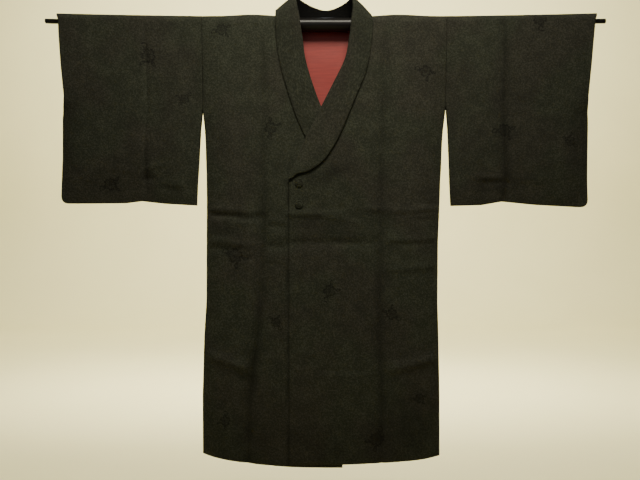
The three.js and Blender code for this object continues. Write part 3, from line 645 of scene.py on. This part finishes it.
def outline_at(half, edge, z):
    return look_up(BODY_OUTLINE, COLUMN[half + "_" + edge], z)


def body_depth(x, z):
    side = outline_at("left" if x > 0 else "right", "side", z)
    return mix(edge_depth(z), ARCH_DEPTH, bow((abs(side) - abs(x)) / SIDE_PINCH))


CALM_SHOULDER = -0.05  # the creases have all their height from this level down


def relief(folds, x, z, depth, side):
    """What stands up from a panel or sinks into it, fading out at its closed seams."""
    seam_distance = abs(abs(outline_at("left" if x > 0 else "right", "side", z)) - abs(x))
    drawn = pucker(seam_distance, z) * ramp(z, 0.0, -0.02)
    loose = fold_height(FOLDS[folds], x, z) + fold_height(CREASES[folds], x, z) + slack(x, z, side)
    loose += press_height("left" if x > 0 else "right", x, z)
    return (loose + drawn) * ramp(depth, SEAM_DEPTH, ARCH_DEPTH / 2) * ramp(z, 0.0, CALM_SHOULDER)


def front_depth(half, x, z):
    depth = body_depth(x, z)
    if half == "left":
        room = look_up(CROSSING, 1, z) * ramp(x, *LIFTED)
    else:
        room = -look_up(CROSSING, 2, z) * ramp(x, *TUCKED)
    return depth + room + relief("front", x, z, depth, 0)


def back_depth(x, z):
    depth = body_depth(x, z)
    return depth + relief("back", x, z, depth, 1)


def hang(half, x, s):
    """Where a point of the body's cloth lies: x across, s along from the shoulder, minus to the front."""
    if abs(s) < ARCH_LENGTH:
        angle = s / ARCH_LENGTH * math.pi / 2
        height = ARCH_HEIGHT + HUMP_HEIGHT * bell(abs(x) - HUMP_X, HUMP_WIDTH)
        return Vector((x, ARCH_DEPTH * math.sin(angle), height * math.cos(angle) + rise(x)))
    z = ARCH_LENGTH - abs(s)
    return Vector((x, -front_depth(half, x, z) if s < 0 else back_depth(x, z), z + rise(x)))


def off_body(half, x, s, lift):
    """A point at a height above the outside of the body's cloth."""
    step = 0.006
    across = hang(half, x + step, s) - hang(half, x - step, s)
    along = hang(half, x, s + step) - hang(half, x, s - step)
    return hang(half, x, s) + across.cross(along).normalized() * (WALL / 2 + lift)


def close_at_ends(share, strength=0.6):
    """Spaces a row of points more closely at both of its ends."""
    return share - strength * math.sin(math.tau * share) / math.tau


NO_FLOWER = (9.0, 9.0)  # a place on the flower's map that lies outside the flower
FLOWER_REACH = 1.75  # how far leaves and tendril go, in radii of the flower


def cloth(name, columns, rows, lay, flowers, material, node, wall, tone=None):
    """A sheet of cloth: a grid laid in place by lay(column, row), which gives a point's place and where it
    is on the flat cloth. Each flower is its place on the flat cloth, its turn and its radius. The tone of a
    point, by its column and its place on the flat cloth, is how much painted shade darkens it and how plain
    it is."""
    bm = bmesh.new()
    painted_shade_layer, plain = bm.verts.layers.float.new("PaintedShade"), bm.verts.layers.float.new("PlainAndShade")
    bmesh.ops.create_grid(bm, x_segments=columns, y_segments=rows, size=0.5, calc_uvs=True)
    flat = {}
    for vert in bm.verts:
        column, row = round((vert.co.x + 0.5) * columns), round((vert.co.y + 0.5) * rows)
        vert.co, flat[vert] = lay(column, row)
        if tone:
            vert[painted_shade_layer], vert[plain] = tone(column, *flat[vert])
    grain_uv = bm.loops.layers.uv.verify()
    flower_uv = bm.loops.layers.uv.new("Flower")
    for face in bm.faces:
        middle = sum((Vector(flat[vert]) for vert in face.verts), Vector((0, 0))) / len(face.verts)
        near = min(flowers, key=lambda flower: (middle - Vector(flower[:2])).length, default=None)
        shown = near and (middle - Vector(near[:2])).length < near[3] * FLOWER_REACH
        for loop in face.loops:
            loop[grain_uv].uv = flat[loop.vert]
            if shown:
                out = Vector(flat[loop.vert]) - Vector(near[:2])
                out.rotate(Matrix.Rotation(-near[2], 2))
                loop[flower_uv].uv = out / near[3]
            else:
                loop[flower_uv].uv = NO_FLOWER
    piece = finished(name, bm, material, node)
    piece.data.uv_layers[0].name = "Grain"
    thick = piece.modifiers.new("cloth_wall", "SOLIDIFY")
    thick.thickness = wall
    thick.offset = 0
    return piece


FRONT_ROWS, ARCH_ROWS, BACK_ROWS = 196, 18, 176
BODY_COLUMNS = (46, 34)  # from the middle to the press line, and from there to the side


def column_x(column, half, line, z, inner, outer, columns):
    """Where a column of a sheet's grid lies; the columns are closer together at the press line."""
    count = column if half == "left" else sum(columns) - column
    press = look_up(PRESS_LINE[line], 1, z)
    if count <= columns[0]:
        return mix(inner, press, close_at_ends(count / columns[0]))
    return mix(press, outer, close_at_ends((count - columns[0]) / columns[1]))


def lay_body(half):
    sign = 1 if half == "left" else -1

    def lay(column, row):
        if FRONT_ROWS <= row <= FRONT_ROWS + ARCH_ROWS:
            share = (row - FRONT_ROWS) / ARCH_ROWS * 2 - 1
            s = share * ARCH_LENGTH
            if share <= 0:
                inner = mix(NECK_HALF, abs(outline_at(half, "front", 0)), -share) * sign
            else:
                inner = max(NECK_HALF * math.sqrt(1 - share ** 2), SEAM_GAP / 2) * sign
            outer = outline_at(half, "side", 0) - sign * SEAM_GAP
            x = column_x(column, half, half, 0, inner, outer, BODY_COLUMNS)
            return hang(half, x, s), (x, s)
        front = row < FRONT_ROWS
        rows = FRONT_ROWS if front else BACK_ROWS
        share = (FRONT_ROWS - row if front else row - FRONT_ROWS - ARCH_ROWS) / rows
        middle, side = HEMS[half]["front" if front else "back"]
        level = -share * (middle + side) / 2
        inner = outline_at(half, "front", level) if front else SEAM_GAP / 2 * sign
        outer = outline_at(half, "side", level) - sign * SEAM_GAP
        x = column_x(column, half, half, level, inner, outer, BODY_COLUMNS)
        z = -share * mix(middle, side, clamp01(x / outer) ** 2)
        s = (-1 if front else 1) * (ARCH_LENGTH - z)
        place = hang(half, x, s)
        roll = max(rolled_edge(abs(x - inner)), rolled_edge((1 - share) * middle),
                   rolled_edge(abs(x - outer)) * ramp(z, SIDE_SEAM_TOP, SIDE_SEAM_TOP + 0.05))
        place.y += roll if front else -roll
        return place, (x, s)

    return lay


def at_front(x, z, turn, radius=0.024):
    return (x, z - ARCH_LENGTH, turn, radius)


def at_back(x, z, turn, radius=0.024):
    return (x, ARCH_LENGTH - z, turn, radius)


BODY_FLOWERS = {
    "left": [at_front(0.247, -0.122, 0.4, 0.021), at_front(0.010, -0.664, 1.9, 0.022),
             at_front(0.164, -0.722, 3.3, 0.020), at_front(0.127, -1.030, 5.1, 0.025),
             at_front(0.232, -0.930, 0.9, 0.017),
             at_back(0.070, -0.210, 1.1), at_back(0.215, -0.450, 2.9), at_back(0.085, -0.640, 4.4),
             at_back(0.200, -0.870, 0.2), at_back(0.075, -1.010, 5.6, 0.020)],
    "right": [at_front(-0.257, -0.020, 1.0, 0.020), at_front(-0.135, -0.262, 2.2, 0.022),
              at_front(-0.223, -0.578, 0.3, 0.026), at_front(-0.248, -0.985, 5.3, 0.018),
              at_front(-0.122, -0.742, 2.9, 0.017),
              at_back(-0.120, -0.130, 3.8), at_back(-0.235, -0.330, 0.7), at_back(-0.090, -0.480, 5.2),
              at_back(-0.220, -0.700, 2.0), at_back(-0.100, -0.900, 1.3, 0.020)],
}


# The body's painted shade: along its press lines and in its bands of painted shade.
def body_tone(column, x, s):
    z = min(0.0, ARCH_LENGTH - abs(s))
    return painted_shade("front" if s < 0 else "back", "left" if x > 0 else "right", x, z), 0.0


for half in ("left", "right"):
    piece = cloth("coat_body_" + half, sum(BODY_COLUMNS), FRONT_ROWS + ARCH_ROWS + BACK_ROWS, lay_body(half),
                  BODY_FLOWERS[half], coat_cloth, "body_" + half, SHOWN_WALL, body_tone)

# ---- The sleeves ------------------------------------------------------------------------------
# One loom width for each sleeve, folded over the rod and sewn along the bottom and, below the cuff,
# up the outer edge, with the corner rounded. Below the armhole the inner edge is left open.
# level, inner and outer edge of the left sleeve, inner and outer edge of the right sleeve
SLEEVE_OUTLINE = [
    (0.02, 0.3, 0.676, -0.306, -0.6695), (0, 0.3, 0.6675, -0.306, -0.661),
    (-0.04, 0.3, 0.6638, -0.306, -0.659), (-0.115, 0.3, 0.6578, -0.306, -0.654),
    (-0.19, 0.3, 0.6505, -0.306, -0.647), (-0.205, 0.3003, 0.651, -0.306, -0.6485),
    (-0.215, 0.3015, 0.652, -0.3063, -0.651), (-0.24, 0.3035, 0.6555, -0.3085, -0.656),
    (-0.265, 0.3055, 0.6555, -0.311, -0.656), (-0.34, 0.3085, 0.6545, -0.315, -0.656),
    (-0.4, 0.31, 0.654, -0.3185, -0.6585), (-0.475, 0.313, 0.6565, -0.3205, -0.661),
]
SLEEVE_BOTTOMS = {
    "left": [
        (0.3, -0.455), (0.39, -0.4535), (0.44, -0.4455), (0.52, -0.455), (0.632, -0.4635), (0.66, -0.4645)],
    "right": [
        (-0.662, -0.4555), (-0.5, -0.451), (-0.458, -0.445), (-0.4, -0.4505), (-0.318, -0.454)],
}
SLEEVE_CORNER, SLEEVE_LOWEST = 0.018, -0.475
SLEEVE_LOW_DEPTH, SLEEVE_CLOSING, CUFF_CLOSING = 0.015, 0.150, 0.060
SLEEVE_FRONT_ROWS, SLEEVE_BACK_ROWS, SLEEVE_COLUMNS = 92, 84, (34, 46)


def sleeve_edge(half, edge, z):
    return look_up(SLEEVE_OUTLINE, {"left": 1, "right": 3}[half] + (edge == "outer"), z)


def sleeve_depth(half, x, z):
    inner, outer = abs(sleeve_edge(half, "inner", z)), abs(sleeve_edge(half, "outer", z))
    bottom = look_up(SLEEVE_BOTTOMS[half], 1, x)
    closing = bow((z - bottom) / SLEEVE_CLOSING)
    cuff = mix(1, bow((outer - abs(x)) / CUFF_CLOSING), ramp(z, ARMHOLE_END + 0.020, ARMHOLE_END - 0.025))
    own = mix(SEAM_DEPTH, mix(ARCH_DEPTH, SLEEVE_LOW_DEPTH, ramp(z, 0, bottom)), closing * cuff)
    at_body = edge_depth(z) if z > ARMHOLE_END else mix(SEAM_DEPTH, UNDERARM_DEPTH, closing)
    return mix(at_body, own, ramp(abs(x) - inner, 0, SIDE_PINCH))


def lay_sleeve(half):
    sign = 1 if half == "left" else -1
    key = half + "_sleeve"
    lowest_outer = sleeve_edge(half, "outer", SLEEVE_LOWEST)

    def x_at(column, z):
        inner = sleeve_edge(half, "inner", z) + SEAM_GAP * sign
        return column_x(column, half, key, z, inner, sleeve_edge(half, "outer", z), SLEEVE_COLUMNS)

    def lay(column, row):
        if SLEEVE_FRONT_ROWS <= row <= SLEEVE_FRONT_ROWS + ARCH_ROWS:
            share = (row - SLEEVE_FRONT_ROWS) / ARCH_ROWS * 2 - 1
            angle = share * math.pi / 2
            z = ARCH_HEIGHT * math.cos(angle)
            x = x_at(column, z)
            return Vector((x, ARCH_DEPTH * math.sin(angle), z + rise(x))), (x, share * ARCH_LENGTH)
        front = row < SLEEVE_FRONT_ROWS
        share = ((SLEEVE_FRONT_ROWS - row) / SLEEVE_FRONT_ROWS if front
                 else (row - SLEEVE_FRONT_ROWS - ARCH_ROWS) / SLEEVE_BACK_ROWS)
        share = mix(share, 1 - (1 - share) ** 1.6, 0.5 * share)
        low_x = x_at(column, SLEEVE_LOWEST)
        into_corner = SLEEVE_CORNER * (1 - clamp01(abs(lowest_outer - low_x) / SLEEVE_CORNER))
        bottom = (look_up(SLEEVE_BOTTOMS[half], 1, low_x)
                  + SLEEVE_CORNER - math.sqrt(SLEEVE_CORNER ** 2 - into_corner ** 2))
        z = share * bottom
        x = x_at(column, z)
        depth = sleeve_depth(half, x, z)
        seam_distance = abs(x - sleeve_edge(half, "inner", z))
        drawn = pucker(seam_distance, z) * ramp(z, ARMHOLE_END - 0.02, ARMHOLE_END + 0.02)
        loose = (fold_height(FOLDS[key], x, z) + fold_height(CREASES[key], x, z)
                 + slack(x, z, 2 if front else 3) + press_height(key, x, z) + drawn)
        loose *= ramp(z, 0.0, CALM_SHOULDER)
        roll = max(rolled_edge(seam_distance), rolled_edge(abs(x - sleeve_edge(half, "outer", z))),
                   rolled_edge(z - bottom))
        away = (depth + loose * ramp(depth, SEAM_DEPTH, SLEEVE_LOW_DEPTH / 2)
                - min(roll, max(0.0, depth - SEAM_DEPTH)))
        s = (-1 if front else 1) * (ARCH_LENGTH - z)
        return Vector((x, -away if front else away, z + rise(x))), (x, s)

    return lay


SLEEVE_FLOWERS = {
    "left": [at_front(0.530, 0.004, 2.4, 0.025), at_front(0.442, -0.270, 0.8, 0.023),
             at_front(0.606, -0.300, 3.2, 0.018),
             at_back(0.390, -0.150, 1.7), at_back(0.560, -0.330, 5.0)],
    "right": [at_front(-0.438, -0.085, 5.8, 0.026), at_front(-0.536, -0.405, 1.2, 0.023),
              at_front(-0.350, -0.190, 4.6, 0.017),
              at_back(-0.380, -0.220, 0.5), at_back(-0.570, -0.090, 2.3)],
}


def sleeve_tone(column, x, s):
    key = "left_sleeve" if x > 0 else "right_sleeve"
    z = min(0.0, ARCH_LENGTH - abs(s))
    # Painted shade that darkens each sleeve below the shoulder, added to its press line and bands of painted
    # shade, weaker on the back.
    wear_and_shade = 0.05 + 0.07 * ramp(z, -0.08, -0.20)
    return wear_and_shade + painted_shade(key, key, x, z) * (1 if s < 0 else 0.6), 0.0


for half in ("left", "right"):
    rows = SLEEVE_FRONT_ROWS + ARCH_ROWS + SLEEVE_BACK_ROWS
    piece = cloth("coat_sleeve_" + half, sum(SLEEVE_COLUMNS), rows, lay_sleeve(half), SLEEVE_FLOWERS[half],
                  coat_cloth, "sleeve_" + half, SHOWN_WALL, sleeve_tone)

# ---- The back lining --------------------------------------------------------------------------
# A panel of soft red silk across the upper back, felled to the neck and the shoulders inside the coat,
# so that the coat slips on easily. It lies just inside the back's cloth.
LINING_WALL, LINING_LEFT, LINING_RIGHT, LINING_TOP, LINING_END = 0.0010, 0.240, -0.248, -0.004, -0.378
lining_silk, nodes, links, shader = new_material("red_silk", sheen=0.14)
shader.inputs["Sheen Tint"].default_value = (1.0, 0.55, 0.48, 1)
given = flat_map("Grain")
threads = speckle(stretched(given, (2600, 700, 1)), 1.0, 2.0)
cross_threads = speckle(stretched(given, (500, 2900, 1)), 1.0, 2.0)
slub = speckle(stretched(given, (18, 260, 1)), 1.0, 3.0)
woven = plus(times(threads, 0.5), times(cross_threads, 0.5))
shade = plus(times(woven, 0.6), times(slub, 0.4))
links.new(blend_colours(fade(shade, 0.35, 0.65), (0.208, 0.013, 0.010), (0.305, 0.024, 0.018)),
          shader.inputs["Base Color"])
links.new(plus(0.42, times(shade, 0.2)), shader.inputs["Roughness"])
stand_up(shade, 0.35, 0.0003)
LINING_COLUMNS, LINING_ROWS = 96, 76


def lay_lining(column, row):
    x = mix(LINING_RIGHT, LINING_LEFT, column / LINING_COLUMNS)
    z = mix(LINING_END, LINING_TOP, row / LINING_ROWS)
    inset = WALL / 2 + SEAM_GAP + LINING_WALL / 2
    ease = 0.0009 * ramp(z, -0.01, -0.06) * (0.5 + wobble(x * 16, z * 9, 4.4))
    return Vector((x, back_depth(x, z) - inset - max(ease, 0), z + rise(x))), (x, z)


lining = cloth("back_lining", LINING_COLUMNS, LINING_ROWS, lay_lining, [], lining_silk,
               "lining_back", LINING_WALL)

# ---- The collar -------------------------------------------------------------------------------
# A long band of the coat's cloth, doubled and folded at its roll. Its inner edge is sewn round the
# neck and down both fronts, it stands up at the neck, and its outer edge falls free on the coat.
COLLAR_WALL, COLLAR_REST = 0.0016, 0.0011
# seam x, seam s, roll x, roll s, roll lift, edge x, edge s, edge lift, radius of the roll; in millimetres
COLLAR = [
    (-85, -418, -91, -420, 3.2, -80, -415, 4.6, 1.2), (-77, -404, -88, -403, 3, -68, -406, 5, 1.2),
    (-61, -388, -77, -384, 2.7, -38, -397, 5.6, 1.2), (-42, -364, -65, -357, 2.8, -7, -375, 5.8, 1.2),
    (-23, -333, -51, -324, 3, 14, -347, 5.8, 1.2), (-3, -296, -31, -284, 3, 32, -316, 5.6, 1.2),
    (20, -252, -9, -239, 3.2, 51, -273, 5.4, 1.2), (49, -191, 21.5, -179, 3.4, 77, -209, 5, 1.3),
    (77, -134, 48.5, -122, 3.6, 100.5, -150, 4.4, 1.4), (87, -76, 59, -68, 5, 113, -86, 3.8, 1.8),
    (92, -36, 65, -22, 10, 117.5, -40, 3.2, 2.4), (93, -14, 69, -9, 32, 115, -14, 2.6, 3),
    (92, 3, 67, -1, 50, 112.5, 8, 2.4, 3), (76, 21, 57.5, 5, 47, 91, 36, 2.4, 3),
    (42, 32, 33, 10, 40, 50, 50, 2.6, 3), (0, 35, 2, 12, 34, 0, 55, 2.8, 3),
    (-42, 32, -31, 10, 40, -50, 50, 3, 3), (-76, 21, -61, 5, 48, -94, 36, 6, 3),
    (-92, 3, -78, -1, 52, -124, 8, 13, 3), (-93, -14, -72, -9, 32, -124, -14, 10, 3),
    (-91, -36, -65, -22, 10, -123, -42, 4.6, 2.4), (-84, -76, -57, -70, 5, -120, -88, 3.4, 1.8),
    (-70, -128, -50, -122, 3.6, -111, -138, 3.4, 1.4), (-55, -187, -33.5, -179, 3, -94, -200, 3.4, 1.2),
    (-33, -247, -11, -239, 2.6, -74, -260, 3, 1.2), (-12, -293, 14, -284, 2.4, -54, -306, 2.4, 1.2),
    (5, -331, 32, -322, 2.3, -35, -343, 2.3, 1.2), (18, -363, 40, -358, 2.3, -17, -371, 2.3, 1.2),
    (30, -390, 44, -387, 2.3, 8, -393, 2.3, 1.2), (38, -408, 46, -409, 2.3, 26, -406, 2.3, 1.2),
    (41, -421, 46, -424, 2.3, 36, -416, 2.3, 1.2),
]
COLLAR_MIDDLE = 15  # the row at the centre back
COLLAR_BULGE, STAND_HEIGHT, COLLAR_LENGTH = 0.0016, 0.03, 1.05
COLLAR_ROWS, STAND_COLUMNS, ROLL_COLUMNS, FALL_COLUMNS = 300, 9, 8, 22


def through(values, place):
    """The value at a place between evenly spaced values, on a smooth curve through them."""
    last = len(values) - 1
    place = min(max(place, 0.0), float(last))
    i = min(int(place), last - 1)
    t = place - i
    before, here, there, beyond = (values[min(max(k, 0), last)] for k in (i - 1, i, i + 1, i + 2))
    return 0.5 * (2 * here + (there - before) * t + (2 * before - 5 * here + 4 * there - beyond) * t * t
                  + (3 * here - before - 3 * there + beyond) * t * t * t)


def collar_value(column, place):
    return through([row[column] for row in COLLAR], place) / 1000


def collar_point(which, place):
    half = "left" if place <= COLLAR_MIDDLE else "right"
    first = {"seam": 0, "roll": 2, "edge": 5}[which]
    lift = COLLAR_REST + COLLAR_WALL / 2 if which == "seam" else collar_value(first + 2, place)
    return off_body(half, collar_value(first, place), collar_value(first + 1, place), lift)


collar_sections = {}


def collar_section(row):
    """One section of the collar, as its seam, the middle and frame of its roll, and its free edge."""
    if row not in collar_sections:
        place = row / COLLAR_ROWS * (len(COLLAR) - 1)
        seam, roll, edge = (collar_point(which, place) for which in ("seam", "roll", "edge"))
        radius = collar_value(8, place)
        up = (roll - (seam + edge) / 2).normalized()
        run = (collar_point("roll", place + 0.25) - collar_point("roll", place - 0.25)).normalized()
        out = run.cross(up).normalized()
        collar_sections[row] = seam, roll - up * radius, edge, up, out, radius
    return collar_sections[row]


def lay_collar(column, row):
    seam, middle, edge, up, out, radius = collar_section(row)
    place = row / COLLAR_ROWS * (len(COLLAR) - 1)
    lengthwise = row / COLLAR_ROWS * COLLAR_LENGTH
    if column <= STAND_COLUMNS:
        share = column / STAND_COLUMNS
        return seam.lerp(middle - out * radius, share), (share * STAND_HEIGHT, lengthwise)
    if column <= STAND_COLUMNS + ROLL_COLUMNS:
        angle = (column - STAND_COLUMNS) / ROLL_COLUMNS * math.pi
        return (middle - out * radius * math.cos(angle) + up * radius * math.sin(angle),
                (STAND_HEIGHT + angle * 0.0012, lengthwise))
    share = close_at_ends((column - STAND_COLUMNS - ROLL_COLUMNS) / FALL_COLUMNS, 0.5)
    ripple = 0.0005 * wobble(place * 1.3, share * 2.0, 6.6) * math.sin(math.pi * share)
    point = (middle + out * radius).lerp(edge, share)
    point += out * (COLLAR_BULGE * 4 * share * (1 - share) + ripple - rolled_edge((1 - share) * 0.06))
    return point, (0.035 + share * (edge - middle).length, lengthwise)


def collar_tone(column, across, along):
    """The collar is darker round the neck, as painted shade; its inner layer is plain, and near black partly
    as painted shade.
    """
    wear_and_shade = 0.27 * ramp(abs(along - COLLAR_LENGTH / 2), 0.38, 0.16)
    return wear_and_shade, 1.0 if column < STAND_COLUMNS + 2 else 0.0


COLLAR_COLUMNS = STAND_COLUMNS + ROLL_COLUMNS + FALL_COLUMNS
COLLAR_FLOWERS = [(0.06, 0.52, 4.0, 0.018)]
collar = cloth("shawl_collar", COLLAR_COLUMNS, COLLAR_ROWS, lay_collar, COLLAR_FLOWERS, coat_cloth,
               "collar", COLLAR_WALL - 0.0001, collar_tone)

# ---- The buttons ------------------------------------------------------------------------------
# Two domed buttons covered with the coat's own cloth, drawn tight over a mould and gathered behind.
# They are sewn to the edge of the left front, the upper one just below the collar's end.
BUTTON_X, BUTTON_LEVELS = -0.065, {"upper": -0.397, "lower": -0.450}
BUTTON_RADIUS, BUTTON_HEIGHT, BUTTON_SIDES, BUTTON_PLAIN = 0.010, 0.005, 56, 0.12
# its outline from the middle over the groove of its mould and its rim to its foot, as shares of its
# radius and height
DOME = [
    (0, 0.86), (0.18, 0.85), (0.36, 0.79), (0.52, 0.68), (0.6, 0.56), (0.645, 0.48), (0.69, 0.52),
    (0.76, 0.64), (0.84, 0.66), (0.92, 0.58), (0.98, 0.42), (1, 0.27), (0.97, 0.12), (0.88, 0.03),
    (0.7, 0), (0, 0),
]
# the small gathers round its rim: how many, how deep as a share of the radius, and from which radius
GATHERS, GATHER, GATHER_INNER = 14, 0.014, 0.006
for name, level in BUTTON_LEVELS.items():
    bm = bmesh.new()
    outline = [(share * BUTTON_RADIUS, 0, up * BUTTON_HEIGHT) for share, up in DOME]
    turned(bm, outline, (0, 0, 1), BUTTON_SIDES)
    plain = bm.verts.layers.float.new("PlainAndShade")
    for vert in bm.verts:
        around = math.atan2(vert.co.y, vert.co.x)
        rim = ramp(math.hypot(vert.co.x, vert.co.y), GATHER_INNER, BUTTON_RADIUS)
        drawn_in = GATHER * rim * (0.5 + 0.5 * math.sin(around * GATHERS + level * 90))
        vert.co.x *= 1 - drawn_in
        vert.co.y *= 1 - drawn_in
        vert[plain] = BUTTON_PLAIN
    grain_uv = bm.loops.layers.uv.new("Grain")
    flower_uv = bm.loops.layers.uv.new("Flower")
    for face in bm.faces:
        for loop in face.loops:
            loop[grain_uv].uv = (loop.vert.co.x, loop.vert.co.y + level)
            loop[flower_uv].uv = NO_FLOWER
    s = level - ARCH_LENGTH
    foot = off_body("left", BUTTON_X, s, SEAM_GAP)
    outward = (off_body("left", BUTTON_X, s, BUTTON_HEIGHT) - foot).normalized()
    upright = outward.to_track_quat("Z", "X").to_matrix().to_4x4()
    bmesh.ops.transform(bm, verts=bm.verts, matrix=Matrix.Translation(foot) @ upright)
    finished("covered_button_" + name, bm, coat_cloth, "button_" + name)
